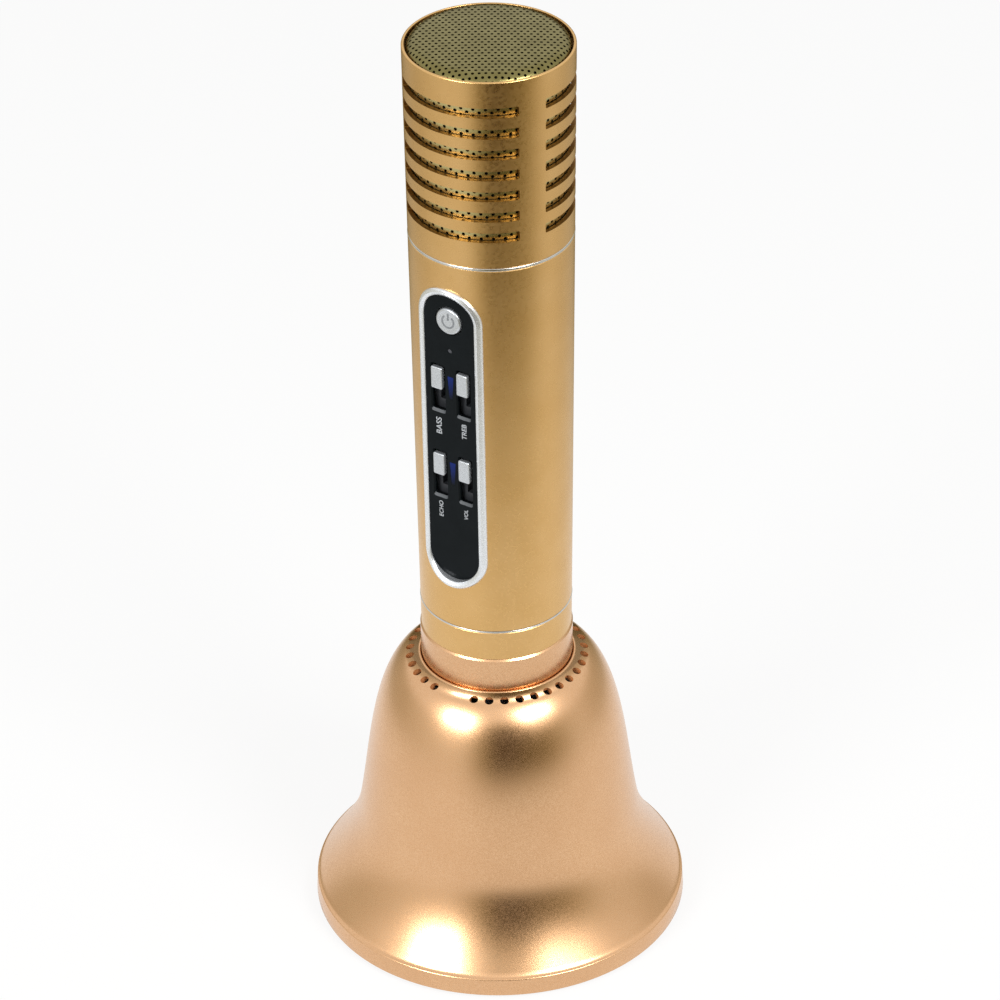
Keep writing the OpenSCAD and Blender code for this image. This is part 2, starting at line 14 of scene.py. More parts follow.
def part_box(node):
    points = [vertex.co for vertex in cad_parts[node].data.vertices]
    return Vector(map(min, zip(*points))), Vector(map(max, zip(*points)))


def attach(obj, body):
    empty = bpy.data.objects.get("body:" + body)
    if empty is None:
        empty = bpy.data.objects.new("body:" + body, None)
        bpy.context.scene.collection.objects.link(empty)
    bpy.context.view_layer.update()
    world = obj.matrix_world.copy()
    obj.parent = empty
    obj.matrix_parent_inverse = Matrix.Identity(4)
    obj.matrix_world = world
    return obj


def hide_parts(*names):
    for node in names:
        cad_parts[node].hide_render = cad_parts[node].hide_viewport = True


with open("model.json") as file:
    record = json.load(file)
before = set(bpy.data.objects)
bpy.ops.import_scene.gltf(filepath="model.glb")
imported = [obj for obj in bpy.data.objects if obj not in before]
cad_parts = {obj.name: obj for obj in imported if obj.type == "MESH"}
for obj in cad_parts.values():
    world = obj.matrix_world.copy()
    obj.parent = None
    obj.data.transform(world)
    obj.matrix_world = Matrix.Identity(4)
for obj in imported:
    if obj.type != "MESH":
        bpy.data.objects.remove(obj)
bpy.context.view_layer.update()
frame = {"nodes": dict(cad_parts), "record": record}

MM = 0.001
TURN = 2 * math.pi


def span(node):
    """Lowest and highest corner of a CAD node, in millimetres."""
    low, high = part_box(node)
    return np.array(low) / MM, np.array(high) / MM


def add_object(name, data):
    """New object in the scene."""
    made = bpy.data.objects.new(name, data)
    bpy.context.scene.collection.objects.link(made)
    return made


# ---- Camera ----

CAMERA_AZIMUTH = math.radians(33.7)
CAMERA_OUT, CAMERA_UP = 1018.49, 790.80
CAMERA_PAN, CAMERA_TILT, CAMERA_ROLL = 0.0013072, 0.5767518, 0.0129204
CAMERA_LENS = 164.612


def make_camera():
    """Camera in front of the panel's right side, looking down on the microphone."""
    data = bpy.data.cameras.new("camera")
    data.sensor_width = 36
    data.lens = CAMERA_LENS
    data.clip_start, data.clip_end = 0.01, 20
    camera = add_object("camera", data)
    pan, tilt, roll = CAMERA_PAN, CAMERA_TILT, CAMERA_ROLL
    level = Vector((math.cos(pan), -math.sin(pan), 0))
    ahead = Vector((math.sin(pan) * math.cos(tilt), math.cos(pan) * math.cos(tilt), -math.sin(tilt)))
    over = Vector((math.sin(pan) * math.sin(tilt), math.cos(pan) * math.sin(tilt), math.cos(tilt)))
    right = level * math.cos(roll) - over * math.sin(roll)
    up = level * math.sin(roll) + over * math.cos(roll)
    place = Matrix.Identity(4)
    for column, axis in enumerate((right, up, -ahead)):
        for row in range(3):
            place[row][column] = axis[row]
    place.translation = Vector((0, -CAMERA_OUT, CAMERA_UP)) * MM
    camera.matrix_world = Matrix.Rotation(CAMERA_AZIMUTH, 4, "Z") @ place
    bpy.context.scene.camera = camera


make_camera()

# ---- Colours and material helpers ----


def colour(code):
    """sRGB hex code as a linear colour."""
    parts = [int(code[i:i + 2], 16) / 255 for i in (1, 3, 5)]
    return tuple(c / 12.92 if c <= 0.04045 else ((c + 0.055) / 1.055) ** 2.4 for c in parts) + (1.0,)


def add_node(tree, kind, inputs=None, **settings):
    """Adds a node with its settings. Each input takes a value or another node's output."""
    node = tree.nodes.new(kind)
    for key, value in settings.items():
        setattr(node, key, value)
    for key, value in (inputs or {}).items():
        if isinstance(value, bpy.types.NodeSocket):
            tree.links.new(value, node.inputs[key])
        else:
            node.inputs[key].default_value = value
    return node


def clear_tree(owner):
    """Empty node tree of a material or a world."""
    owner.use_nodes = True
    owner.node_tree.nodes.clear()
    return owner.node_tree


def start_material(name, **shader_inputs):
    """New material with one Principled shader: returns it, its tree, its shader and the coordinates."""
    material = bpy.data.materials.new(name)
    tree = clear_tree(material)
    inputs = {key.replace("_", " "): value for key, value in shader_inputs.items()}
    shader = add_node(tree, "ShaderNodeBsdfPrincipled", inputs)
    add_node(tree, "ShaderNodeOutputMaterial", {"Surface": shader.outputs[0]})
    place = add_node(tree, "ShaderNodeTexCoord").outputs["Object"]
    return material, tree, shader, place


def noise(tree, place, size_mm, detail=2.0, stretch=None):
    """Noise whose lumps are size_mm across. stretch squeezes it along the axes."""
    if stretch:
        place = add_node(tree, "ShaderNodeMapping", {"Vector": place, "Scale": stretch}).outputs[0]
    return add_node(tree, "ShaderNodeTexNoise",
                    {"Vector": place, "Scale": 1 / (size_mm * MM), "Detail": detail}).outputs["Fac"]


def spread(tree, value, low, high):
    """Maps noise, which mostly lies between 0.3 and 0.7, onto low to high."""
    return add_node(tree, "ShaderNodeMapRange", {"Value": value, "From Min": 0.3, "From Max": 0.7,
                                                 "To Min": low, "To Max": high}).outputs[0]


def blend_colours(tree, value, first, second):
    """Colour that runs from first to second with value."""
    mix = add_node(tree, "ShaderNodeMix", data_type="RGBA")
    for socket, item in ((mix.inputs["Factor"], value), (mix.inputs[6], first), (mix.inputs[7], second)):
        if isinstance(item, bpy.types.NodeSocket):
            tree.links.new(item, socket)
        else:
            socket.default_value = item
    return mix.outputs[2]


def bump(tree, height, depth_mm, strength=1.0, normal=None):
    """Surface relief depth_mm high."""
    inputs = {"Height": height, "Distance": depth_mm * MM, "Strength": strength}
    if normal:
        inputs["Normal"] = normal
    return add_node(tree, "ShaderNodeBump", inputs).outputs[0]


def dress(tree, shader, tone, rough, relief):
    """Joins colour, roughness and relief to the shader."""
    for item, socket in ((tone, "Base Color"), (rough, "Roughness"), (relief, "Normal")):
        tree.links.new(item, shader.inputs[socket])


def plain_finish(name, light, dark, roughness, grain_mm, relief_mm, rough_change=0.06, **shader_inputs):
    """Finish with a fine grain: the colour wanders from light to dark, and so do roughness and relief."""
    material, tree, shader, place = start_material(name, **shader_inputs)
    cloud = noise(tree, place, grain_mm * 12, 3)
    grain = noise(tree, place, grain_mm, 2)
    tone = blend_colours(tree, spread(tree, cloud, 0, 1), colour(light), colour(dark))
    tree.links.new(tone, shader.inputs["Base Color"])
    rough = spread(tree, grain, roughness - rough_change, roughness + rough_change)
    tree.links.new(rough, shader.inputs["Roughness"])
    tree.links.new(bump(tree, grain, relief_mm), shader.inputs["Normal"])
    return material


# ---- Materials ----

def anodised_aluminium():
    """Bead-blasted, gold-anodised aluminium: a satin sheen that smears reflections into soft bands."""
    material, tree, shader, place = start_material("gold anodised aluminium, bead-blasted", Metallic=1.0)
    cloud = noise(tree, place, 9, 3)
    # blasting pits are about 0.1 mm; they are drawn 0.8 mm wide so that they show as a soft mottle
    pits = noise(tree, place, 0.8, 0)
    tone = blend_colours(tree, spread(tree, cloud, 0, 1), colour("#DBB277"), colour("#D6AC6F"))
    dress(tree, shader, tone, spread(tree, pits, 0.27, 0.33), bump(tree, pits, 0.0008))
    return material


def flake_paint():
    """Rose-gold flake paint under a thin clear coat: fine sparkle and soft white highlights."""
    material, tree, shader, place = start_material(
        "rose gold flake paint, sprayed", Metallic=1.0, Coat_Weight=0.12, Coat_Roughness=0.2)
    # the flakes are about 0.05 mm; they are drawn 0.25 mm wide so that their sparkle shows
    flakes = add_node(tree, "ShaderNodeTexVoronoi", {"Vector": place, "Scale": 1 / (0.25 * MM)})
    glint = add_node(tree, "ShaderNodeSeparateColor", {"Color": flakes.outputs["Color"]}).outputs[0]
    cloud = noise(tree, place, 14, 2)
    tone = blend_colours(tree, spread(tree, cloud, 0, 1), colour("#E3B88E"), colour("#DDB086"))
    tone = blend_colours(tree, glint, tone, colour("#D6A87C"))
    tree.links.new(tone, shader.inputs["Base Color"])
    rough = add_node(tree, "ShaderNodeMapRange", {"Value": glint, "To Min": 0.23, "To Max": 0.31})
    tree.links.new(rough.outputs[0], shader.inputs["Roughness"])
    peel = noise(tree, place, 1.6, 1)
    relief = bump(tree, peel, 0.004, 0.6)
    tree.links.new(bump(tree, glint, 0.002, 0.5, relief), shader.inputs["Normal"])
    return material


def punched_gold_mesh(light, dark):
    """Perforated steel sheet with a pale olive-gold plating: duller than the aluminium round it."""
    material, tree, shader, place = start_material("gold-plated perforated steel", Metallic=1.0)
    cloud = noise(tree, place, 3, 3)
    grain = noise(tree, place, 0.3, 2)
    tone = blend_colours(tree, spread(tree, cloud, 0, 1), colour(light), colour(dark))
    dress(tree, shader, tone, spread(tree, grain, 0.22, 0.32), bump(tree, grain, 0.003))
    return material


def gloss_panel():
    """Black acrylic, polished: nearly black, with clear reflections that a fine haze softens."""
    material, tree, shader, place = start_material("black acrylic, polished", IOR=1.49,
                                                   Specular_IOR_Level=0.07)
    haze = noise(tree, place, 5, 3)
    tone = blend_colours(tree, spread(tree, haze, 0, 1), colour("#0B0F11"), colour("#0E1214"))
    dress(tree, shader, tone, spread(tree, haze, 0.1, 0.16),
          bump(tree, noise(tree, place, 2.5, 1), 0.002, 0.4))
    return material


def silver_paint(light, dark):
    """ABS with fine silver paint: an even pale grey with a soft metallic sheen."""
    material, tree, shader, place = start_material(
        "silver-painted ABS", Metallic=0.8, Coat_Weight=0.2, Coat_Roughness=0.12)
    grain = noise(tree, place, 0.3, 2)
    tone = blend_colours(tree, spread(tree, grain, 0, 1), colour(light), colour(dark))
    dress(tree, shader, tone, spread(tree, grain, 0.24, 0.3), bump(tree, grain, 0.0012))
    return material


def circuit_laminate():
    """Glass-epoxy board with green solder resist: copper tracks show as paler lines under it."""
    material, tree, shader, place = start_material("glass epoxy board, solder resist", IOR=1.55,
                                                   Coat_Weight=0.4, Coat_Roughness=0.15)
    # tracks about 0.4 mm wide, 1.6 mm apart
    tracks = add_node(tree, "ShaderNodeTexBrick",
                      {"Vector": place, "Scale": 1 / (1.6 * MM), "Mortar Size": 0.12, "Brick Width": 2.0,
                       "Row Height": 1.0, "Color1": colour("#1C5A38"), "Color2": colour("#174E30"),
                       "Mortar": colour("#2E7A4C")})
    dress(tree, shader, tracks.outputs["Color"], spread(tree, noise(tree, place, 1, 2), 0.25, 0.4),
          bump(tree, tracks.outputs["Fac"], 0.03))
    return material


def wound_copper():
    """Enamelled copper wire, wound: fine turns, one beside the other."""
    material, tree, shader, place = start_material("enamelled copper wire", Metallic=1.0)
    # wire 0.25 mm thick
    turns = add_node(tree, "ShaderNodeTexWave", {"Vector": place, "Scale": 1 / (0.25 * MM) / TURN * 2},
                     wave_type="BANDS", bands_direction="Z", wave_profile="SIN")
    # the colour darkens between the turns: painted shade in the grooves of the winding
    tone = blend_colours(tree, turns.outputs["Fac"], colour("#8A4A1E"), colour("#C87A42"))
    dress(tree, shader, tone, spread(tree, noise(tree, place, 0.6, 2), 0.22, 0.34),
          bump(tree, turns.outputs["Fac"], 0.1))
    return material


def pressed_paper():
    """Pressed paper pulp, dyed black: short fibres and a dull, felted face."""
    material, tree, shader, place = start_material("paper pulp cone, pressed", Sheen_Weight=0.15)
    # fibres about 0.15 mm thick and 1 mm long
    fibres = noise(tree, place, 0.5, 4, stretch=(1, 1, 0.3))
    tone = blend_colours(tree, spread(tree, fibres, 0, 1), colour("#1B1C1E"), colour("#2B2C2F"))
    dress(tree, shader, tone, spread(tree, fibres, 0.75, 0.92), bump(tree, fibres, 0.06))
    return material


def open_foam():
    """Open-cell polyurethane foam: paler walls between the pores, and the pores darkened with painted shade.
    """
    material, tree, shader, place = start_material("polyurethane foam, open-cell", Roughness=0.95)
    cells = add_node(tree, "ShaderNodeTexVoronoi", {"Vector": place, "Scale": 1 / (0.7 * MM)},
                     feature="DISTANCE_TO_EDGE")
    walls = add_node(tree, "ShaderNodeMapRange", {"Value": cells.outputs["Distance"], "From Max": 0.12})
    # the pores' darker colour is painted shade inside the cells
    tone = blend_colours(tree, walls.outputs[0], colour("#26262A"), colour("#0B0B0C"))
    tree.links.new(tone, shader.inputs["Base Color"])
    tree.links.new(bump(tree, walls.outputs[0], -0.15), shader.inputs["Normal"])
    return material


def woven_spider():
    """Cotton cloth stiffened with amber resin: a fine weave of threads 0.4 mm apart."""
    material, tree, shader, place = start_material("resin-stiffened cotton", Sheen_Weight=0.2)
    threads = [add_node(tree, "ShaderNodeTexWave", {"Vector": place, "Scale": 1 / (0.4 * MM) / TURN * 2},
                        bands_direction=axis).outputs["Fac"] for axis in "XY"]
    weave = add_node(tree, "ShaderNodeMath", {0: threads[0], 1: threads[1]}, operation="MULTIPLY").outputs[0]
    # the colour darkens between the threads: painted shade where they dip under one another
    tone = blend_colours(tree, weave, colour("#8E6D34"), colour("#CDA85E"))
    dress(tree, shader, tone, spread(tree, weave, 0.8, 0.65), bump(tree, weave, 0.08))
    return material


def shrink_wrap():
    """PVC sleeve shrunk round the cell: glossy blue with faint ripples round it."""
    material, tree, shader, place = start_material("PVC shrink wrap", IOR=1.53, Coat_Weight=0.5,
                                                   Coat_Roughness=0.08)
    ripples = noise(tree, place, 6, 2, stretch=(0.4, 0.4, 1))
    tone = blend_colours(tree, spread(tree, ripples, 0, 1), colour("#2F66A0"), colour("#28588C"))
    dress(tree, shader, tone, spread(tree, ripples, 0.22, 0.32), bump(tree, ripples, 0.08, 0.5))
    return material


def lit_window():
    """Smoked acrylic light window: a dim blue glow that fades into the panel towards its foot."""
    material, tree, shader, place = start_material("smoked acrylic light window", IOR=1.49,
                                                   Specular_IOR_Level=0.1)
    height = add_node(tree, "ShaderNodeSeparateXYZ", {"Vector": place}).outputs["Z"]
    heights = [span("light_windows")[0][2], span("light_windows")[1][2]]
    glow = None
    for foot, head in ((heights[0], heights[0] + 6.9), (heights[1] - 6.9, heights[1])):
        part = add_node(tree, "ShaderNodeMapRange", {"Value": height, "From Min": foot * MM,
                                                     "From Max": head * MM})
        near = add_node(tree, "ShaderNodeMath", {0: height, 1: (foot + head) / 2 * MM},
                        operation="SUBTRACT")
        size = add_node(tree, "ShaderNodeMath", {0: near.outputs[0]}, operation="ABSOLUTE")
        within = add_node(tree, "ShaderNodeMath", {0: size.outputs[0], 1: 4 * MM}, operation="LESS_THAN")
        share = add_node(tree, "ShaderNodeMath", {0: part.outputs[0], 1: within.outputs[0]},
                         operation="MULTIPLY").outputs[0]
        glow = share if glow is None else add_node(
            tree, "ShaderNodeMath", {0: glow, 1: share}, operation="ADD").outputs[0]
    tone = blend_colours(tree, glow, colour("#0C1013"), colour("#10215C"))
    tree.links.new(tone, shader.inputs["Base Color"])
    tree.links.new(tone, shader.inputs["Emission Color"])
    shader.inputs["Emission Strength"].default_value = 0.08
    tree.links.new(spread(tree, noise(tree, place, 1.5, 2), 0.12, 0.2), shader.inputs["Roughness"])
    return material


finishes = {
    "gold_anodised": anodised_aluminium(),
    "gold_mesh": punched_gold_mesh("#877E50", "#7A7145"),
    "rose_gold_paint": flake_paint(),
    # electroplated ring: mirror-bright, with faint turning marks
    "bright_silver": plain_finish("nickel plate, bright", "#D2D1CD", "#C4C3BF", 0.22, 0.4, 0.001, 0.04,
                                  Metallic=1.0),
    "silver_caps": silver_paint("#C3C7CB", "#B9BDC2"),
    "black_gloss": gloss_panel(),
    # clear moulded lens over a dark seat: glossy and smoky
    "clear_lens": plain_finish("clear polycarbonate, moulded", "#35373E", "#2E3036", 0.2, 0.8, 0.002,
                               IOR=1.58),
    # glass-filled nylon: a dull black face with a fine moulded grain
    "black_plastic": plain_finish("glass-filled nylon, moulded", "#26282B", "#1E2023", 0.5, 0.5, 0.01,
                                  IOR=1.53),
    # acetal: slick and milky white
    "white_plastic": plain_finish("acetal, moulded", "#ECECE8", "#E0E0DB", 0.35, 0.6, 0.003, IOR=1.48),
    "black_foam": open_foam(),
    # moulded rubber: matt, with a faint bloom
    "black_rubber": plain_finish("nitrile rubber, moulded", "#232426", "#1A1B1D", 0.72, 0.4, 0.015,
                                 IOR=1.52),
    # zinc-plated steel: bright grey with slightly blue patches
    "plain_steel": plain_finish("steel, zinc-plated", "#C4C7CB", "#B2B6BC", 0.3, 0.5, 0.004, Metallic=1.0),
    # pressed steel under black electro-coat: satin and nearly black
    "dark_steel": plain_finish("steel, black electro-coat", "#3A3C40", "#303236", 0.42, 0.6, 0.008,
                               Metallic=0.3),
    "circuit_board": circuit_laminate(),
    "battery_wrap": shrink_wrap(),
    # sintered ferrite: dull charcoal with a stony grain
    "ferrite": plain_finish("ferrite, sintered and ground", "#3B3B3E", "#2D2D30", 0.6, 0.8, 0.02),
    "copper_wire": wound_copper(),
    "paper_cone": pressed_paper(),
    "woven_cloth": woven_spider(),
}
# screen-printed ink: a flat pale grey, slightly raised
print_ink = plain_finish("screen ink, pale grey", "#A9ADB1", "#9DA1A5", 0.55, 0.3, 0.004)
# laser-etched mark: a darker, rougher grey than the paint round it
etched_mark = plain_finish("laser-etched mark", "#74777A", "#686B6E", 0.6, 0.2, 0.004)
window_finish = lit_window()
# sawn edge of the sleeve, anodised but not blasted: duller than its face, and darker with painted shade of
# the slots it lines
shaded_cut_edge = plain_finish("gold anodised aluminium, cut edge, painted shade", "#986F35", "#8A632C", 0.45, 0.4, 0.01,
                        Metallic=1.0)
# machined acrylic: the cut leaves a frosted grey face. Only the up-facing lower bevel of each slot takes it,
# so its pale grey is partly a painted highlight
frosted_highlight_edge = plain_finish("black acrylic, frosted by cutting, painted highlight", "#44484C", "#3A3E42", 0.5, 0.3, 0.006,
                            IOR=1.49)

# the liner lies in the sleeve's shade; it takes a paler copy of the mesh plating, painted light that
# brightens it there
lit_liner_finish = punched_gold_mesh("#CDC08A", "#C0B27D")
# the bezel takes a paler copy of the cap paint: painted light that makes up for the shade of the dark plate
# beside it
lit_bezel_finish = silver_paint("#DEE1E4", "#D6D9DD")
# the vent walls take a dull brown: painted shade and bounced light inside the vents
vent_shade_paint = plain_finish("rose gold paint, painted vent shade", "#B87C4C", "#A66A3C", 0.5, 0.4, 0.01, IOR=1.5)

# Every CAD node first takes the finish of its slot in the record.
for part in frame["record"]["subparts"]:
    for place in frame["nodes"][part["node"]].material_slots:
        place.material = finishes[part["material_slot"]]

# ---- Mesh helpers ----


def make_piece(name, parts, slot, body="housing", replaces=(), finish=None, sharp_angle=32):
    """One object from parts, each (points in mm, faces, corner normals or None), welded where they meet."""
    points, faces, normals, shift = [], [], [], 0
    for part_points, part_faces, part_normals in parts:
        points.append(np.asarray(part_points, float))
        faces += [[shift + i for i in face] for face in part_faces]
        corners = sum(len(face) for face in part_faces)
        normals.append(np.zeros((corners, 3)) if part_normals is None else np.asarray(part_normals))
        shift += len(part_points)
    points, normals = np.vstack(points), np.vstack(normals)
    # weld points that lie within a tenth of a micrometre
    _, first, index = np.unique(np.round(points, 4), axis=0, return_index=True, return_inverse=True)
    index = index.ravel()
    kept_faces, kept_normals, at = [], [], 0
    for face in faces:
        welded = [int(index[i]) for i in face]
        corner = [k for k in range(len(face)) if welded[k] != welded[k - 1]]
        if len(corner) > 2:
            kept_faces.append([welded[k] for k in corner])
            kept_normals += [normals[at + k] for k in corner]
        at += len(face)
    mesh = bpy.data.meshes.new(name)
    mesh.from_pydata((points[first] * MM).tolist(), [], kept_faces)
    mesh.polygons.foreach_set("use_smooth", [True] * len(mesh.polygons))
    mesh.set_sharp_from_angle(angle=math.radians(sharp_angle))
    if np.any(normals):
        mesh.normals_split_custom_set([tuple(n) for n in kept_normals])
    mesh.update()
    piece = add_object(name, mesh)
    mesh.materials.append(finish or finishes[slot])
    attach(piece, body)
    if replaces:
        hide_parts(*replaces)
    return piece


def refinish(piece, finish, chosen):
    """Gives a second finish to the faces that chosen(middle in mm, direction) picks."""
    piece.data.materials.append(finish)
    for face in piece.data.polygons:
        if chosen(face.center / MM, face.normal):
            face.material_index = 1


def lathe(profile, steps=160, closed=True):
    """Turns a profile of (radius, height) round the axis. A closed one runs anticlockwise."""
    profile = np.asarray(profile, float)
    angles = TURN * np.arange(steps) / steps
    points = np.array([[r * math.cos(a), r * math.sin(a), z] for a in angles for r, z in profile])
    count = len(profile)
    faces = []
    for i in range(steps):
        here, there = i * count, (i + 1) % steps * count
        for k in range(count if closed else count - 1):
            m = (k + 1) % count
            if profile[k][0] < 1e-9 and profile[m][0] < 1e-9:
                continue
            faces.append([here + k, there + k, there + m, here + m])
    return points, faces, None


def arc(centre, radius, start, end, steps):
    """Points of an arc in the (radius, height) plane, angles in degrees."""
    return [(centre[0] + radius * math.cos(math.radians(start + (end - start) * i / steps)),
             centre[1] + radius * math.sin(math.radians(start + (end - start) * i / steps)))
            for i in range(steps + 1)]


def curve(a, b, c, d, steps):
    """Points of a cubic curve from a to d, pulled towards b and c."""
    return [tuple((1 - t) ** 3 * p + 3 * t * (1 - t) ** 2 * q + 3 * t * t * (1 - t) * r + t ** 3 * s
                  for p, q, r, s in zip(a, b, c, d)) for t in (i / steps for i in range(steps + 1))]


def loft(loops, first_cap=False, last_cap=False, ring=False):
    """Skin through loops with equal numbers of points. Caps close its ends, or ring joins last to first."""
    count = len(loops[0])
    points = np.vstack(loops)
    faces = []
    for k in range(len(loops) if ring else len(loops) - 1):
        low, high = k * count, (k + 1) % len(loops) * count
        faces += [[low + i, low + (i + 1) % count, high + (i + 1) % count, high + i] for i in range(count)]
    if first_cap:
        faces.append(list(range(count))[::-1])
    if last_cap:
        faces.append([(len(loops) - 1) * count + i for i in range(count)])
    return points, faces, None


def inside(points, loop):
    """Which points lie inside a closed flat loop."""
    found = np.zeros(len(points), bool)
    x, y = points[:, 0], points[:, 1]
    for (x0, y0), (x1, y1) in zip(loop, np.roll(loop, -1, axis=0)):
        if y0 != y1:
            found ^= ((y0 > y) != (y1 > y)) & (x < (x1 - x0) * (y - y0) / (y1 - y0) + x0)
    return found


def skin(outline, holes, place, facing, thickness, extra=(), seam=None, back=None):
    """Sheet with holes. The outline and holes are flat loops, place() lays them on the surface, facing()
    gives its outward direction, and extra points let it bend. A seam is the width at which its sides meet."""
    loops = [np.asarray(outline, float)] + [np.asarray(h, float) for h in holes]
    flat, edges = [], []
    for loop in loops:
        start = len(flat)
        flat += [tuple(p) for p in loop]
        edges += [(start + i, start + (i + 1) % len(loop)) for i in range(len(loop))]
    if len(extra):
        extra = np.asarray(extra, float)
        free = inside(extra, loops[0])
        for loop in loops[1:]:
            middle = loop.mean(0)
            near = np.all(np.abs(extra - middle) <= np.abs(loop - middle).max(0) * 1.15 + 0.1, axis=1)
            near[near] = inside(extra[near], middle + (loop - middle) * 1.12)
            free &= ~near
        flat += [tuple(p) for p in extra[free]]
    made = delaunay_2d_cdt([Vector(p) for p in flat], edges, [], 0, 1e-7)
    flat = np.array([tuple(p) for p in made[0]])
    triangles = np.array(made[2])
    middle = flat[triangles].mean(1)
    kept = inside(middle, loops[0])
    for loop in loops[1:]:
        low, high = loop.min(0), loop.max(0)
        near = np.all((middle > low) & (middle < high), axis=1)
        near[near] = inside(middle[near], loop)
        kept &= ~near
    triangles = triangles[kept]
    edge_1, edge_2 = (flat[triangles[:, k]] - flat[triangles[:, 0]] for k in (1, 2))
    area = edge_1[:, 0] * edge_2[:, 1] - edge_1[:, 1] * edge_2[:, 0]
    triangles = triangles[np.abs(area) > 1e-9]
    if seam:
        left = {round(v, 4): i for i, (u, v) in enumerate(flat) if abs(u) < 1e-4}
        joined = np.arange(len(flat))
        for i, (u, v) in enumerate(flat):
            if abs(u - seam) < 1e-4:
                joined[i] = left[round(v, 4)]
        triangles = joined[triangles]
    front, out = place(flat), facing(flat)
    rear = back(flat) if back else front - out * thickness
    a, b, c = (front[triangles[:, k]] for k in range(3))
    flip = np.einsum("ij,ij->i", np.cross(b - a, c - a), out[triangles[:, 0]]) < 0
    triangles[flip] = triangles[flip][:, ::-1]
    count = len(flat)
    faces = triangles.tolist() + (triangles[:, ::-1] + count).tolist()
    normals = [out[triangles].reshape(-1, 3), -out[triangles[:, ::-1]].reshape(-1, 3)]
    directed = {(int(t[k]), int(t[(k + 1) % 3])) for t in triangles for k in range(3)}
    both = np.vstack([front, rear])
    for i, j in sorted(directed):
        if (j, i) not in directed:
            wall = [j, i, i + count, j + count]
            faces.append(wall)
            across = np.cross(both[wall[1]] - both[wall[0]], both[wall[3]] - both[wall[0]])
            size = np.linalg.norm(across)
            normals.append(np.tile(across / size if size > 0 else out[i], (4, 1)))
    used = np.unique(np.concatenate([np.array(f) for f in faces]))
    number = np.zeros(len(both), int)
    number[used] = np.arange(len(used))
    return both[used], [[int(number[i]) for i in face] for face in faces], np.vstack(normals)


def circle(x, y, radius, sides=12):
    """Flat round loop."""
    return [(x + radius * math.cos(TURN * (k + 0.5) / sides), y + radius * math.sin(TURN * (k + 0.5) / sides))
            for k in range(sides)]


def rounded_loop(width, height, corner, inset=0.0, steps=6):
    """Flat loop of a rectangle with round corners, anticlockwise. inset shrinks it on every side."""
    half_w, half_h = width / 2 - inset, height / 2 - inset
    corner = max(min(corner - inset, half_w, half_h), 0.02)
    loop = []
    for k, (sx, sy) in enumerate(((1, 1), (-1, 1), (-1, -1), (1, -1))):
        for i in range(steps + 1):
            angle = math.radians(90 * k + 90 * i / steps)
            loop.append((sx * (half_w - corner) + corner * math.cos(angle),
                         sy * (half_h - corner) + corner * math.sin(angle)))
    return np.array(loop)


# ---- The tapered body ----

RIM_R, GRIP_R = 22.0, 20.4          # outside at the rim and at the foot of the handle tube
HEAD_LOW, HEAD_HIGH = span("head_sleeve")
TUBE_LOW, TUBE_HIGH = span("handle_tube")
RIM_Z = HEAD_HIGH[2]
TAPER = (RIM_R - GRIP_R) / (RIM_Z - TUBE_LOW[2])
HEAD_WALL, GRIP_WALL = 1.2, 1.5


def body_r(z):
    """Radius of the tapered outside at height z."""
    return RIM_R - TAPER * (RIM_Z - z)


def on_body(flat, out=0.0, reference=GRIP_R):
    """Points of an unrolled (distance round, height) sheet on the taper. The seam is at the back."""
    angle = math.pi / 2 + flat[:, 0] / reference
    r = body_r(flat[:, 1]) + out
    return np.stack([r * np.cos(angle), r * np.sin(angle), flat[:, 1]], axis=1)


def body_facing(flat, reference=GRIP_R):
    """Outward direction of the taper."""
    angle = math.pi / 2 + flat[:, 0] / reference
    direction = np.stack([np.cos(angle), np.sin(angle), np.full(len(flat), -TAPER)], axis=1)
    return direction / math.sqrt(1 + TAPER ** 2)


def unrolled(x, z, front):
    """Place on the unrolled sheet of a point seen straight from the front or the back."""
    angle = math.asin(max(-1.0, min(1.0, x / body_r(z))))
    turn = math.pi + angle if front else (TURN - angle if x > 0 else -angle)
    return turn * GRIP_R, z


def facing_front(x, z, out):
    """Point that stands out mm proud of the taper, seen straight from the front at (x, z)."""
    r = body_r(z) + out
    return x, -math.sqrt(max(r * r - x * x, 0.0)), z


def on_front(loop, middle_x, middle_z, out):
    """Flat loop laid on the front of the taper."""
    return np.array([facing_front(middle_x + x, middle_z + z, out) for x, z in loop])


def on_panel(loop, middle_x, middle_z, out):
    """Flat loop laid on the sunken plate, out mm proud of it."""
    return np.array([(middle_x + x, PLATE_SINK - body_r(middle_z + z) - out, middle_z + z) for x, z in loop])


FULL = TURN * GRIP_R
ROUND_STEPS = 160


def sheet_outline(heights, width=FULL, steps=ROUND_STEPS):
    """Outline of an unrolled sheet, with matching points on both of its sides, and the points inside it."""
    across = np.linspace(0, width, steps + 1)
    loop = ([(u, heights[0]) for u in across] + [(width, z) for z in heights[1:-1]]
            + [(u, heights[-1]) for u in across[::-1]] + [(0.0, z) for z in heights[-2:0:-1]])
    within = [(u, z) for u in across[1:-1] for z in heights[1:-1]]
    return loop, within


EDGE_H = 0.15                       # height of the broken edge at the foot of a tube


def lower_edge(low, foot, wall):
    """Broken edge that closes the foot of a tube."""
    return lathe([(foot - wall, low + EDGE_H), (foot - wall, low), (foot - 0.12, low), (foot, low + EDGE_H)],
                 ROUND_STEPS, closed=False)


# ---- Head ----

SLOT_ROWS, SLOT_H, SLOT_PITCH, SLOT_Z = 7, 2.75, 5.92, 220.5
SLOT_COLUMNS, SLOT_SPAN = 3, 100
SLOT_TURN = 3.1                     # of the sound slots and vents from the panel, in degrees
RIM_WALL, SEAT_DEPTH = 0.75, 2.2    # of the thin rim that the top grille sits in


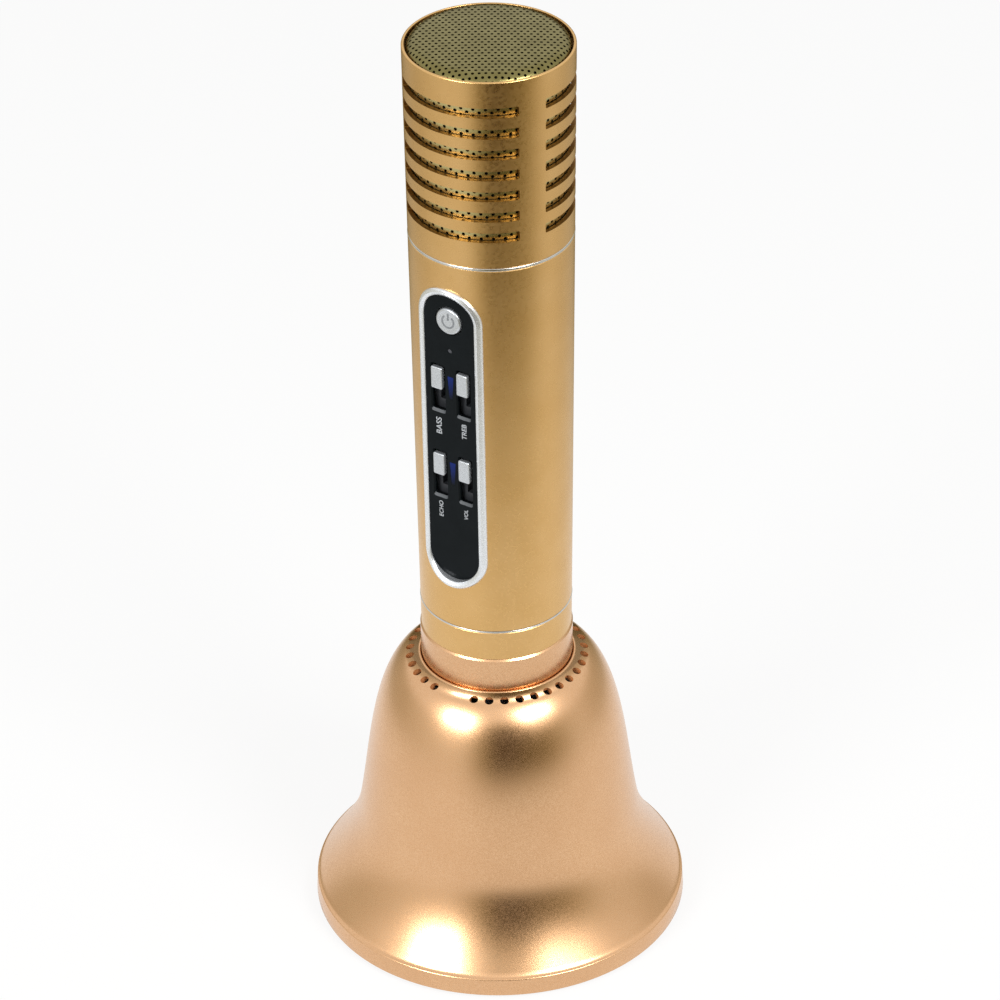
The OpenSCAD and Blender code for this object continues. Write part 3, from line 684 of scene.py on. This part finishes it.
def make_head_sleeve():
    """Outer sleeve with its rows of sound slots and a small rolled rim."""
    low, high = HEAD_LOW[2], RIM_Z
    loop, within = sheet_outline(np.linspace(low + EDGE_H, high - SEAT_DEPTH, 13))
    holes = []
    for row in range(SLOT_ROWS):
        middle = SLOT_Z + SLOT_PITCH * row
        within += [(u, middle + s * SLOT_PITCH / 2) for u in np.linspace(0, FULL, ROUND_STEPS + 1)[1:-1]
                   for s in (0.5, -0.5)]
        for column in range(SLOT_COLUMNS):
            start = math.radians(180 + SLOT_TURN - SLOT_SPAN / 2 + 120 * (column - 1)) * GRIP_R
            length = math.radians(SLOT_SPAN) * GRIP_R
            across = np.linspace(start, start + length, 45)
            corner = 0.25
            foot, head = middle - SLOT_H / 2, middle + SLOT_H / 2
            holes.append([(across[0], foot + corner), (across[0] + corner, foot)]
                         + [(u, foot) for u in across[1:-1]]
                         + [(across[-1] - corner, foot), (across[-1], foot + corner),
                            (across[-1], head - corner), (across[-1] - corner, head)]
                         + [(u, head) for u in across[-2:0:-1]]
                         + [(across[0] + corner, head), (across[0], head - corner)])
    tube = skin(loop, holes, on_body, body_facing, HEAD_WALL, within, FULL)
    # rim and foot edges, broken by a small round
    top, seat, foot = body_r(high - 0.35), body_r(high - SEAT_DEPTH), body_r(low + EDGE_H)
    rim = lathe([(seat - HEAD_WALL, high - SEAT_DEPTH), (seat, high - SEAT_DEPTH), (top, high - 0.35)]
                + arc((top - 0.35, high - 0.35), 0.35, 10, 90, 6)
                + arc((top - RIM_WALL + 0.15, high - 0.15), 0.15, 90, 180, 4)
                + [(top - RIM_WALL, high - SEAT_DEPTH)], ROUND_STEPS)
    edge = lower_edge(low, foot, HEAD_WALL)
    sleeve = make_piece("head_sleeve_slotted", [tube, rim, edge], "gold_anodised", replaces=["head_sleeve"])

    def slot_wall(middle, direction):
        across = direction.xy.dot(middle.xy.normalized())
        return abs(across) < 0.3 and low + 3 < middle.z < high - 4

    # the slot walls take the darker cut-edge finish: painted shade inside the slots
    refinish(sleeve, shaded_cut_edge, slot_wall)


make_head_sleeve()

HOLE_D, HOLE_PITCH = 0.9, 1.8      # perforations of the side grille
DOME_HOLE_D, DOME_PITCH, DOME_TURN = 0.8, 1.64, 3.7
GRILLE_T = 0.45


def make_side_grille():
    """Perforated liner behind the slots: staggered columns of holes all the way round."""
    low, high = span("side_grille")
    r_mean = (low[0] * -1 + high[0]) / 2 - 0.2
    columns = 2 * round(TURN * r_mean / (2 * HOLE_PITCH * math.sqrt(3) / 2))
    rows = int((high[2] - low[2]) / HOLE_PITCH)
    start = (low[2] + high[2] - rows * HOLE_PITCH) / 2
    step = TURN / columns
    half_u, half_v, sides = 0.5, HOLE_PITCH / 2, 12
    hole_u = HOLE_D / 2 / (step * r_mean)
    ring = [(hole_u * math.cos(TURN * (k + 0.5) / sides), HOLE_D / 2 * math.sin(TURN * (k + 0.5) / sides))
            for k in range(sides)]
    frame_points = [(half_u, 0), (half_u, half_v), (0, half_v), (-half_u, half_v), (-half_u, 0),
                    (-half_u, -half_v), (0, -half_v), (half_u, -half_v)]
    # each hole point joins the frame point nearest to it in angle
    cell_faces = []
    matches = [round(((k + 0.5) / sides * 8)) % 8 for k in range(sides)]
    for k in range(sides):
        m, a, b = (k + 1) % sides, matches[k], matches[(k + 1) % sides]
        cell_faces.append([8 + k, a, 8 + m] if a == b else [8 + k, a, b, 8 + m])
    points, faces, normals = [], [], []
    depth = GRILLE_T

    def surface(angle, z, out):
        r = body_r(z) - 1.5 + out
        return (r * math.cos(angle), r * math.sin(angle), z)

    for column in range(columns):
        lift = HOLE_PITCH / 2 * (column % 2)
        for row in range(rows - column % 2):
            centre_z = start + HOLE_PITCH * (row + 0.5) + lift
            centre_a = step * (column + 0.5)
            at = len(points)
            cell = frame_points + ring
            for out in (0, -depth):
                points += [surface(centre_a + step * u, centre_z + v, out) for u, v in cell]
            size = len(cell)
            for face in cell_faces:
                faces.append([at + i for i in face])
                normals += [np.array((math.cos(centre_a + step * cell[i][0]),
                                      math.sin(centre_a + step * cell[i][0]), 0)) for i in face]
                faces.append([at + size + i for i in face[::-1]])
                normals += [-np.array((math.cos(centre_a + step * cell[i][0]),
                                       math.sin(centre_a + step * cell[i][0]), 0)) for i in face[::-1]]
            for k in range(sides):
                m = (k + 1) % sides
                faces.append([at + 8 + k, at + 8 + m, at + size + 8 + m, at + size + 8 + k])
                towards = TURN * (k + 1) / sides
                side = np.array((math.sin(centre_a) * math.cos(towards),
                                 -math.cos(centre_a) * math.cos(towards), -math.sin(towards)))
                normals += [side] * 4
    # the liner wears the paler copy of the plating: painted light against the sleeve's shade
    make_piece("side_grille_perforated", [(points, faces, normals)], "gold_mesh", replaces=["side_grille"],
               finish=lit_liner_finish)


make_side_grille()


def staggered_holes(pitch, hole, limit, reach, turn=0.0):
    """Round holes in staggered rows, out to limit from the middle. turn is in degrees."""
    holes = []
    c, s = math.cos(math.radians(turn)), math.sin(math.radians(turn))
    for i in range(-reach, reach + 1):
        for j in range(-reach, reach + 1):
            x, y = i * pitch * math.sqrt(3) / 2, (j + 0.5 * (i % 2)) * pitch
            x, y = x * c - y * s, x * s + y * c
            if math.hypot(x, y) < limit:
                holes.append(circle(x, y, hole / 2))
    return holes


def make_top_grille():
    """Domed perforated cap with a rolled edge, pressed into the rim."""
    low, high = span("top_grille")
    edge, top = high[0], high[2]
    roll, dome = 3.0, 0.5
    # the profile from the middle outwards: a shallow dome, the rolled edge and a short skirt
    lip = edge - roll
    profile = [(r, top - dome * (r / lip) ** 2) for r in np.linspace(0, lip, 14)]
    lean = math.atan(2 * dome / lip)
    centre = (lip - roll * math.sin(lean), top - dome - roll * math.cos(lean))
    slack = edge - centre[0] - roll
    profile += [(centre[0] + roll * math.sin(t) + slack * (t - lean) / (math.pi / 2 - lean),
                 centre[1] + roll * math.cos(t)) for t in np.linspace(lean, math.pi / 2, 10)[1:]]
    profile += [(edge, low[2] + 0.05), (edge, low[2])]
    profile = np.array(profile)
    step = np.hypot(*np.diff(profile, axis=0).T)
    along = np.concatenate([[0], np.cumsum(step)])
    slope = np.gradient(profile, along, axis=0)
    out_r, out_z = -slope[:, 1], slope[:, 0]
    size = np.hypot(out_r, out_z)
    rolled_end = along[-3]

    def place(flat):
        s = np.hypot(flat[:, 0], flat[:, 1])
        r, z = np.interp(s, along, profile[:, 0]), np.interp(s, along, profile[:, 1])
        share = r / np.maximum(s, 1e-9)
        return np.stack([flat[:, 0] * share, flat[:, 1] * share, z], axis=1)

    def facing(flat):
        s = np.hypot(flat[:, 0], flat[:, 1])
        r, z = np.interp(s, along, out_r / size), np.interp(s, along, out_z / size)
        n = np.stack([flat[:, 0] / np.maximum(s, 1e-9) * r, flat[:, 1] / np.maximum(s, 1e-9) * r, z], axis=1)
        return n / np.linalg.norm(n, axis=1)[:, None]

    holes = staggered_holes(DOME_PITCH, DOME_HOLE_D, rolled_end + 0.1, int(along[-1] / DOME_PITCH) + 2,
                            DOME_TURN)
    rings = [s for s in np.linspace(rolled_end - 3.6, along[-1], 12)[:-1]]
    extra = [(s * math.cos(a), s * math.sin(a)) for s in rings for a in TURN * np.arange(96) / 96]
    cap = skin(circle(0, 0, along[-1], 96), holes, place, facing, GRILLE_T, extra)
    make_piece("top_grille_perforated", [cap], "gold_mesh", replaces=["top_grille"])


make_top_grille()

# ---- Handle ----

BEZEL_LOW, BEZEL_HIGH = span("panel_bezel")
PANEL_Z = (BEZEL_LOW[2] + BEZEL_HIGH[2]) / 2
BEZEL_W, BEZEL_H = 19.3, BEZEL_HIGH[2] - BEZEL_LOW[2]
BEZEL_FRAME, BEZEL_PROUD = 2.0, 1.0
PLATE_SINK = 1.25                   # of the flat plate below the crown of the tube
PORT_Z = (span("audio_socket")[0][2] + span("audio_socket")[1][2]) / 2
PORT_X = 5.0


def stadium(inset, steps=20):
    """Upright stadium loop of the bezel's outline, shrunk by inset."""
    return rounded_loop(BEZEL_W, BEZEL_H, BEZEL_W / 2, inset, steps)


def make_handle_tube():
    """Tapered tube with the openings for the panel and the two sockets."""
    low, high = TUBE_LOW[2], TUBE_HIGH[2]
    loop, within = sheet_outline(np.linspace(low + EDGE_H, high - 0.1, 15))
    skirt = BEZEL_FRAME - 1.6
    panel = [unrolled(x, PANEL_Z + z, True) for x, z in stadium(skirt)]
    charging = [unrolled(-PORT_X + x, PORT_Z + z, False) for x, z in rounded_loop(8.4, 3.4, 1.6, steps=8)]
    audio = [unrolled(PORT_X + x, PORT_Z + z, False) for x, z in circle(0, 0, 2.6, 32)]
    tube = skin(loop, [panel, charging, audio], on_body, body_facing, GRIP_WALL, within, FULL)
    top, foot = body_r(high - 0.1), body_r(low + EDGE_H)
    ends = [lathe([(top, high - 0.1), (top - 0.1, high), (top - GRIP_WALL, high),
                   (top - GRIP_WALL, high - 0.1)],
                  ROUND_STEPS, closed=False),
            lower_edge(low, foot, GRIP_WALL)]
    make_piece("handle_tube_tapered", [tube] + ends, "gold_anodised", replaces=["handle_tube"])


make_handle_tube()


def make_bezel():
    """Moulded frame round the panel: a rounded outer shoulder and a flat slope down to the plate."""
    section = [(1.2, -1.8), (0.02, -0.5), (0.0, 0.12)]
    section += [(0.75 - 0.75 * math.cos(t), 0.15 + 0.75 * math.sin(t))
                for t in np.radians(np.linspace(8, 90, 8))]
    section += [(0.95, BEZEL_PROUD), (1.1, BEZEL_PROUD - 0.06), (1.82, 0.5), (1.94, 0.36), (2.0, 0.15),
                (2.0, -1.8)]
    rings = [on_front(stadium(inset), 0, PANEL_Z, out) for inset, out in section]
    # the bezel wears the paler copy of the cap paint: painted light
    make_piece("panel_bezel_moulded", [loft(rings, ring=True)], "silver_caps", replaces=["panel_bezel"],
               finish=lit_bezel_finish)


make_bezel()

CAP_W, CAP_H, CAP_PROUD = 3.4, 6.5, 0.8
SLOT_W, SLOT_L, TRAVEL = 3.9, 13.6, 6.4
SLOT_EDGE, SCOOP = 0.32, 0.4         # bevel round each slider's slot, and what its lower end adds
PLATE_T = 1.1


def slider_place(name):
    """Side and middle height of a slider's cap."""
    low, high = span(name)
    return (low[0] + high[0]) / 2, (low[2] + high[2]) / 2


SLIDERS = ["bass_slider", "treble_slider", "echo_slider", "volume_slider"]
SLOTS = [(slider_place(n)[0], slider_place(n)[1] - TRAVEL / 2) for n in SLIDERS]
BUTTON_Z = (span("power_button")[0][2] + span("power_button")[1][2]) / 2
BUTTON_R = 3.75
LED_Z = (span("status_led")[0][2] + span("status_led")[1][2]) / 2
WINDOW_Z = (span("light_windows")[1][2] - 3.45, span("light_windows")[0][2] + 3.45)


def window_loop(inset=0.0):
    """Wedge that narrows downwards: the outline of one light window."""
    half = [(0.95, 3.4), (0.5, -3.4)]
    return np.array([(half[0][0] - inset, half[0][1] - inset), (-half[0][0] + inset, half[0][1] - inset),
                     (-half[1][0] + inset, half[1][1] + inset), (half[1][0] - inset, half[1][1] + inset)])


def slot_loop(inset, scoop=0.0):
    """Outline of a slider's slot. scoop draws its lower end down."""
    loop = rounded_loop(SLOT_W, SLOT_L, 0.5, inset)
    loop[loop[:, 1] < 0, 1] -= scoop
    return loop


def make_plate():
    """Black gloss plate with its slots, each with a small bevel, and its round and wedge openings."""
    def place(flat):
        return on_panel(flat, 0, 0, 0.0)

    def facing(flat):
        return np.tile(np.array((0.0, -1.0, -TAPER)) / math.hypot(1, TAPER), (len(flat), 1))

    outline = stadium(BEZEL_FRAME - 0.4) + (0, PANEL_Z)
    holes = [slot_loop(-SLOT_EDGE, SCOOP) + (x, z) for x, z in SLOTS]
    holes.append(circle(0, BUTTON_Z, BUTTON_R + 0.4, 48))
    holes.append(circle(0, LED_Z, 0.62, 20))
    holes += [window_loop() + (0, z) for z in WINDOW_Z]
    extra = [(x, z) for x in np.linspace(-7, 7, 15) for z in np.arange(PANEL_Z - 44, PANEL_Z + 44, 2.5)]
    plate = skin(outline, holes, place, facing, PLATE_T, extra)
    bevels = [loft([on_panel(slot_loop(inset, scoop), x, z, out)
                    for inset, scoop, out in ((-SLOT_EDGE - 0.04, SCOOP, 0.0), (-SLOT_EDGE, SCOOP, 0.015),
                                              (0, 0, -0.45), (0, 0, -PLATE_T), (-SLOT_EDGE, 0, -PLATE_T))])
              for x, z in SLOTS]
    sheet = make_piece("panel_plate_gloss", [plate] + bevels, "black_gloss", replaces=["panel_plate"])

    # the up-facing lower bevels take the pale frosted grey: painted highlight
    def lit_lower_bevel(middle, direction):
        ends = (middle.z - z + SLOT_L / 2 for _, z in SLOTS)
        return direction.z > 0.3 and direction.y < -0.2 and any(-SCOOP - SLOT_EDGE < e < 0.3 for e in ends)

    refinish(sheet, frosted_highlight_edge, lit_lower_bevel)
    for k, z in enumerate(WINDOW_Z):
        rings = [on_panel(window_loop(inset), 0, z, out)
                 for inset, out in ((0.02, -0.8), (0.02, -0.06), (0.06, -0.02))]
        make_piece(f"light_window_{k + 1}", [loft(rings, True, True)], "clear_lens",
                   replaces=["light_windows"], finish=window_finish)


make_plate()


def make_slider(name):
    """Slider cap with softened edges, on a thin lever that runs in the slot."""
    x, z = slider_place(name)
    tip = -span(name)[1][1]
    edge = 0.32
    section = [(0.3, -0.55), (0.0, -0.4), (0.0, CAP_PROUD - edge)]
    section += [(edge * (1 - math.cos(t)), CAP_PROUD - edge + edge * math.sin(t))
                for t in np.radians((22, 45, 68, 90))]
    section += [(0.7, CAP_PROUD + 0.0), (1.2, CAP_PROUD - 0.02)]
    rings = [on_panel(rounded_loop(CAP_W, CAP_H, 0.5, inset), x, z, out) for inset, out in section]
    depth = body_r(z) - PLATE_SINK - 0.5
    stem = [np.array([(x + u, -y, z + v) for u, v in rounded_loop(1.2, 2.0, 0.15, steps=3)])
            for y in (tip, depth)]
    make_piece(name + "_cap", [loft(rings, True, True), loft(stem, True, True)], "silver_caps", body=name,
               replaces=[name])


for slider_name in SLIDERS:
    make_slider(slider_name)


def make_power_button():
    """Round button with a softened edge and the power mark etched in its face."""
    face_y = span("power_button")[0][1]
    foot_y = span("power_button")[1][1]

    def ring(radius, y, sides=64):
        return np.array([(radius * math.cos(TURN * k / sides), y,
                          BUTTON_Z + radius * math.sin(TURN * k / sides)) for k in range(sides)])

    soft = 0.6
    rings = [ring(1.6, foot_y), ring(1.6, face_y + 3.4), ring(BUTTON_R + 0.8, face_y + 3.4),
             ring(BUTTON_R + 0.8, face_y + 2.6), ring(BUTTON_R, face_y + 2.6)]
    rings += [ring(BUTTON_R - soft * (1 - math.cos(t)), face_y + soft * (1 - math.sin(t)))
              for t in np.radians((0, 18, 36, 54, 72, 90))]
    rings += [ring(3.0, face_y + 0.05), ring(2.4, face_y + 0.1), ring(0.8, face_y + 0.12)]
    make_piece("power_button_cap", [loft(rings, True, True)], "silver_caps", body="power_button",
               replaces=["power_button"])
    # an open ring with a bar in its gap, the usual sign for power
    half, parts = 0.25, []
    mark_y = face_y + 0.07
    gap = 38
    arc_steps = np.radians(np.linspace(90 + gap, 450 - gap, 40))
    loops = [np.array([((1.75 + side) * math.cos(t), mark_y + sink, BUTTON_Z + (1.75 + side) * math.sin(t))
                       for t in arc_steps]) for side, sink in
             ((-half, 0.08), (-half, 0), (half, 0), (half, 0.08))]
    points = np.vstack(loops)
    count = len(arc_steps)
    faces = [[k * count + i, k * count + i + 1, (k + 1) * count + i + 1, (k + 1) * count + i]
             for k in range(3) for i in range(count - 1)]
    faces += [[0, count, 2 * count, 3 * count], [4 * count - 1, 3 * count - 1, 2 * count - 1, count - 1]]
    faces += [[3 * count + i, 3 * count + i + 1, i + 1, i] for i in range(count - 1)]
    parts.append((points, faces, None))
    bar = [np.array([(u, mark_y + sink, BUTTON_Z + 1.35 + v) for u, v in rounded_loop(2 * half, 2.1, 0.1)])
           for sink in (0.08, 0.0)]
    parts.append(loft(bar, True, True))
    make_piece("power_mark", parts, "silver_caps", body="power_button", finish=etched_mark)


make_power_button()


def make_label(text, x, z, length):
    """Word printed along the panel, reading upwards, length mm long."""
    data = bpy.data.curves.new("words", "FONT")
    data.body = text
    data.size = 1
    data.offset = 0.008
    words = add_object("words", data)
    shape = words.evaluated_get(bpy.context.evaluated_depsgraph_get()).to_mesh()
    points = np.array([tuple(v.co)[:2] for v in shape.vertices])
    faces = [list(p.vertices) for p in shape.polygons]
    edge_count = {}
    for face in faces:
        for k in range(len(face)):
            pair = (face[k], face[(k + 1) % len(face)])
            edge_count[pair] = edge_count.get(pair, 0) + 1
    words.to_mesh_clear()
    bpy.data.objects.remove(words)
    size = length / (points[:, 0].max() - points[:, 0].min())
    points = (points - (points.min(0) + points.max(0)) / 2) * size
    both = np.vstack([on_panel([(-v, u) for u, v in points], x, z, out) for out in (0.03, -0.03)])
    count = len(points)
    solid = faces + [[count + i for i in face[::-1]] for face in faces]
    solid += [[j, i, i + count, j + count] for i, j in edge_count if (j, i) not in edge_count]
    make_piece("label_" + text.lower(), [(both, solid, None)], "black_gloss", finish=print_ink)


# each slider's word, its length, and how far its middle lies below the cap's middle
WORDS = (("BASS", 4.9, 14.75), ("TREB", 4.6, 14.3), ("ECHO", 4.8, 14.2), ("VOL", 3.2, 13.6))
for slider_name, (word, word_length, word_drop) in zip(SLIDERS, WORDS):
    cap_x, cap_z = slider_place(slider_name)
    make_label(word, cap_x, cap_z - word_drop, word_length)


def make_trim(name, node, proud, slot="bright_silver"):
    """Thin ring with rounded edges between two tubes."""
    low, high = span(node)
    z0, z1, r = low[2], high[2], body_r((low[2] + high[2]) / 2) + proud
    inner = -span(node)[0][0] - 1.6
    soft = (z1 - z0) * 0.35
    section = [(inner, z0), (r - soft, z0)] + arc((r - soft, z0 + soft), soft, -80, 0, 4)
    section += arc((r - soft, z1 - soft), soft, 0, 80, 4) + [(r - soft, z1), (inner, z1)]
    make_piece(name, [lathe(section, ROUND_STEPS)], slot, replaces=[node])


make_trim("upper_ring_polished", "upper_trim_ring", 0.06)
make_trim("lower_ring_polished", "lower_trim_ring", 0.1)


def make_band(name, node, proud, slot, chamfer):
    """Short turned band with a chamfer at its top."""
    low, high = span(node)
    z0, z1 = low[2], high[2]
    inner, foot, head = 18.7, body_r(z0) + proud, body_r(z1) + proud
    section = [(inner, z0), (foot - 0.15, z0), (foot, z0 + 0.15)]
    section += [(foot + (head - foot) * t, z0 + 0.15 + (z1 - chamfer - z0 - 0.15) * t)
                for t in (0.33, 0.66, 1)]
    section += [(head - chamfer * 0.8, z1), (inner, z1)]
    make_piece(name, [lathe(section, ROUND_STEPS)], slot, replaces=[node])


make_band("lower_band_turned", "lower_band", 0.0, "gold_anodised", 0.12)
make_band("neck_collar_turned", "neck_collar", 0.3, "rose_gold_paint", 0.5)

# ---- Bell ----

BELL_HIGH = span("bell_shell")[1]
LIP_R, LIP_Z, NECK_Z = BELL_HIGH[0], 6.3, 80.5
BELL_WALL = 1.8
VENT_D, VENT_STEP, VENT_PAIRS = 2.4, 10, 16
BELL_STEPS, LIP_POINTS = 168, 8     # the shell starts after the first LIP_POINTS of its outline


def bell_outline():
    """The bell's outside from its foot to its neck, as (radius, height)."""
    line = [(LIP_R - 2.6, 0.6), (LIP_R - 1.6, 0.6)] + arc((LIP_R - 0.6, 1.2), 0.6, -90, 0, 6)
    line += [(LIP_R - 0.15, 3.8), (LIP_R - 0.24, 5.6)] + arc((LIP_R - 0.7, LIP_Z - 0.45), 0.45, 5, 75, 5)
    line += curve((LIP_R - 0.75, LIP_Z), (46.2, 12.3), (40.4, 20), (38.5, 30), 26)[1:]
    line += curve((38.5, 30), (35.2, 48), (34.6, 71.5), (24.9, 79.2), 34)[1:]
    line += arc((21.05, NECK_Z - 0.1), 0.4, 0, 170, 8)
    line += [(20.64, NECK_Z - 0.6), (20.62, NECK_Z - 1), (18.7, NECK_Z - 1)]
    return np.array(line)


def make_bell():
    """Flared shell with a ring of vents round its shoulder."""
    line = bell_outline()
    along = np.concatenate([[0], np.cumsum(np.hypot(*np.diff(line, axis=0).T))])
    slope = np.gradient(line, along, axis=0)
    out = np.stack([slope[:, 1], -slope[:, 0]], axis=1)
    out /= np.linalg.norm(out, axis=1)[:, None]
    vent_at = along[np.argmin(np.abs(line[:, 0] - 24.9) + np.abs(line[:, 1] - 79.2))] + 1.25
    reference = float(np.interp(vent_at, along, line[:, 0]))
    width = TURN * reference

    def place(flat):
        angle = math.pi / 2 + flat[:, 0] / reference
        r, z = np.interp(flat[:, 1], along, line[:, 0]), np.interp(flat[:, 1], along, line[:, 1])
        return np.stack([r * np.cos(angle), r * np.sin(angle), z], axis=1)

    def facing(flat):
        angle = math.pi / 2 + flat[:, 0] / reference
        r, z = np.interp(flat[:, 1], along, out[:, 0]), np.interp(flat[:, 1], along, out[:, 1])
        n = np.stack([r * np.cos(angle), r * np.sin(angle), z], axis=1)
        return n / np.linalg.norm(n, axis=1)[:, None]

    vents = []
    for i in range(VENT_PAIRS):
        for side in (-1, 1):
            turn = math.radians(180 + SLOT_TURN + side * (15 + VENT_STEP * i))
            vents.append(circle(turn * reference, vent_at, VENT_D / 2, 24))
    loop, within = sheet_outline(along[LIP_POINTS:], width, BELL_STEPS)
    shell = skin(loop, vents, place, facing, BELL_WALL, within, width)
    bell = make_piece("bell_shell_spun", [shell], "rose_gold_paint", replaces=["bell_shell"])

    def vent_wall(middle, direction):
        across = direction.xy.dot(middle.xy.normalized()) * 0.34 + direction.z * 0.94
        return abs(across) < 0.4 and 21.9 < middle.xy.length < 25.6 and middle.z > 76

    # the vent walls' dull brown is painted shade and bounced light
    refinish(bell, vent_shade_paint, vent_wall)


make_bell()


def make_speaker_grille():
    """Perforated disc that guards the loudspeaker under the bell."""
    low, high = span("speaker_grille")
    pitch, hole, punched_r = 2.4, 1.5, 32.4
    holes = staggered_holes(pitch, hole, punched_r, 18)

    def place(flat):
        return np.column_stack([flat, np.full(len(flat), low[2])])

    def facing(flat):
        return np.tile((0.0, 0.0, -1.0), (len(flat), 1))

    disc = skin(circle(0, 0, high[0], 96), holes, place, facing, high[2] - low[2])
    make_piece("speaker_grille_perforated", [disc], "dark_steel", replaces=["speaker_grille"])


make_speaker_grille()

# ---- Floor, lamps and background ----

FLOOR_Z = -0.0002


def seen_directly(tree):
    """1 for rays from the camera, off metal or through glass, and 0 for the rays that light the object."""
    path = add_node(tree, "ShaderNodeLightPath")
    total = add_node(tree, "ShaderNodeMath", {0: path.outputs["Is Camera Ray"],
                                              1: path.outputs["Is Glossy Ray"]}, operation="ADD")
    return add_node(tree, "ShaderNodeMath", {0: total.outputs[0], 1: path.outputs["Is Transmission Ray"]},
                    operation="ADD", use_clamp=True).outputs[0]


def make_world():
    """White background, and a softer even light on the object."""
    world = bpy.data.worlds.new("studio")
    tree = clear_tree(world)
    light = add_node(tree, "ShaderNodeBackground", {"Color": (1, 1, 1, 1), "Strength": 0.42})
    white = add_node(tree, "ShaderNodeBackground", {"Color": (1, 1, 1, 1), "Strength": 1.0})
    mix = add_node(tree, "ShaderNodeMixShader", {"Fac": seen_directly(tree), 1: light.outputs[0],
                                                 2: white.outputs[0]})
    add_node(tree, "ShaderNodeOutputWorld", {"Surface": mix.outputs[0]})
    bpy.context.scene.world = world


def make_floor():
    """Round pale floor that keeps a faint shadow."""
    steps, radius = 64, 3.0
    mesh = bpy.data.meshes.new("floor")
    mesh.from_pydata([(radius * math.cos(TURN * k / steps), radius * math.sin(TURN * k / steps), FLOOR_Z)
                      for k in range(steps)], [], [list(range(steps))])
    floor = add_object("floor", mesh)
    material = bpy.data.materials.new("pale studio floor")
    tree = clear_tree(material)
    paint = add_node(tree, "ShaderNodeBsdfDiffuse", {"Color": colour("#F0F0EE")})
    glow = add_node(tree, "ShaderNodeEmission", {"Color": (1, 1, 1, 1), "Strength": 1.0})
    share = add_node(tree, "ShaderNodeMath", {0: seen_directly(tree), 1: 0.86}, operation="MULTIPLY")
    mix = add_node(tree, "ShaderNodeMixShader", {"Fac": share.outputs[0], 1: paint.outputs[0],
                                                 2: glow.outputs[0]})
    add_node(tree, "ShaderNodeOutputMaterial", {"Surface": mix.outputs[0]})
    mesh.materials.append(material)


def toward(azimuth, elevation, distance):
    """Point at a distance in metres, seen from the object. Azimuth 0 is the camera's side."""
    a = math.radians(azimuth) + CAMERA_AZIMUTH
    e = math.radians(elevation)
    return Vector((math.sin(a) * math.cos(e), -math.cos(a) * math.cos(e), math.sin(e))) * distance


def make_soft_box(name, azimuth, elevation, distance, width, height, power):
    """Large area lamp aimed at the bell."""
    data = bpy.data.lights.new(name, "AREA")
    data.shape = "RECTANGLE"
    data.size, data.size_y = width, height
    data.energy = power
    lamp = add_object(name, data)
    lamp.location = toward(azimuth, elevation, distance) + Vector((0, 0, 0.08))
    lamp.rotation_mode = "QUATERNION"
    lamp.rotation_quaternion = (lamp.location - Vector((0, 0, 0.08))).to_track_quat("Z", "Y")


# How dark the painted reflections are round the object, by azimuth from the camera in degrees: darkest behind
# the camera and behind the object, with a weaker dark patch at each side.
SURROUND = ((-180, 1.0), (-165, 1.0), (-148, 0.45), (-128, 0.32), (-104, 0.3), (-84, 0.2), (-40, 0.12),
            (-27, 0.22), (-14, 0.62), (-4, 1.0), (3, 1.0), (14, 1.0), (24, 0.9), (42, 0.78), (56, 0.48),
            (72, 0.2), (88, 0.14), (104, 0.25), (128, 0.32), (148, 0.45), (165, 1.0), (180, 1.0))
SURROUND_RAMP, SURROUND_FAR = 0.23, 2.4


def make_surround():
    """Dim studio that only reflections see, painting the dark reflections on the metal: the floor darkens
    outwards and meets a low, dark wall.
    """
    rows = [(r, 0.0) for r in np.linspace(0.1, 0.45, 15)]
    rows += [(r, 0.0) for r in np.linspace(0.45, SURROUND_FAR, 8)[1:]]
    rows += [(SURROUND_FAR, share) for share in np.linspace(0, 1, 10)[1:]]
    angles = np.arange(-180, 180, 3.0)
    level = np.interp(angles, *zip(*SURROUND))
    # the floor darkens from nearer by at the sides, and the wall is taller behind the camera
    near = np.interp(np.abs(angles), (60, 110), (0.19, 0.16))
    tops = np.interp(np.abs(angles - 5), (12, 30), (1.75, 1.0))
    points, faces, depth = [], [], []
    for r, share in rows:
        up = min(1.0, 2 * (1 - share))
        for a, dark, start, top in zip(angles, level, near, tops):
            ramp = min(1.0, max(0.0, (r - start) / SURROUND_RAMP))
            p = toward(a, 0, r)
            points.append((p.x, p.y, FLOOR_Z + 0.001 + share * top))
            depth.append(float(dark * ramp * up * up * (3 - 2 * up)))
    count = len(angles)
    for k in range(len(rows) - 1):
        faces += [[k * count + i, k * count + (i + 1) % count, (k + 1) * count + (i + 1) % count,
                   (k + 1) * count + i] for i in range(count)]
    mesh = bpy.data.meshes.new("studio_surround")
    mesh.from_pydata(points, [], faces)
    mesh.attributes.new("reflection_darkness", "FLOAT", "POINT").data.foreach_set("value", depth)
    card = add_object("studio_surround", mesh)
    material = bpy.data.materials.new("painted reflection studio surround")
    tree = clear_tree(material)
    shade = add_node(tree, "ShaderNodeAttribute", attribute_name="reflection_darkness").outputs["Fac"]
    # the painted reflection colour: white falls through ochre to a deep brown
    half = blend_colours(tree, shade, (1, 1, 1, 1), colour("#C3B31F"))
    tone = blend_colours(tree, shade, half, colour("#40300A"))
    glow = add_node(tree, "ShaderNodeEmission", {"Color": tone, "Strength": 1.0})
    add_node(tree, "ShaderNodeOutputMaterial", {"Surface": glow.outputs[0]})
    mesh.materials.append(material)
    for rays in ("visible_camera", "visible_diffuse", "visible_transmission", "visible_shadow"):
        setattr(card, rays, False)


make_world()
make_floor()
make_soft_box("soft_box_left", -42, 28, 1.6, 0.66, 0.5, 17)
make_soft_box("soft_box_right", 42, 39, 1.6, 0.7, 0.45, 17)
make_surround()

bpy.context.scene.view_settings.view_transform = "Standard"
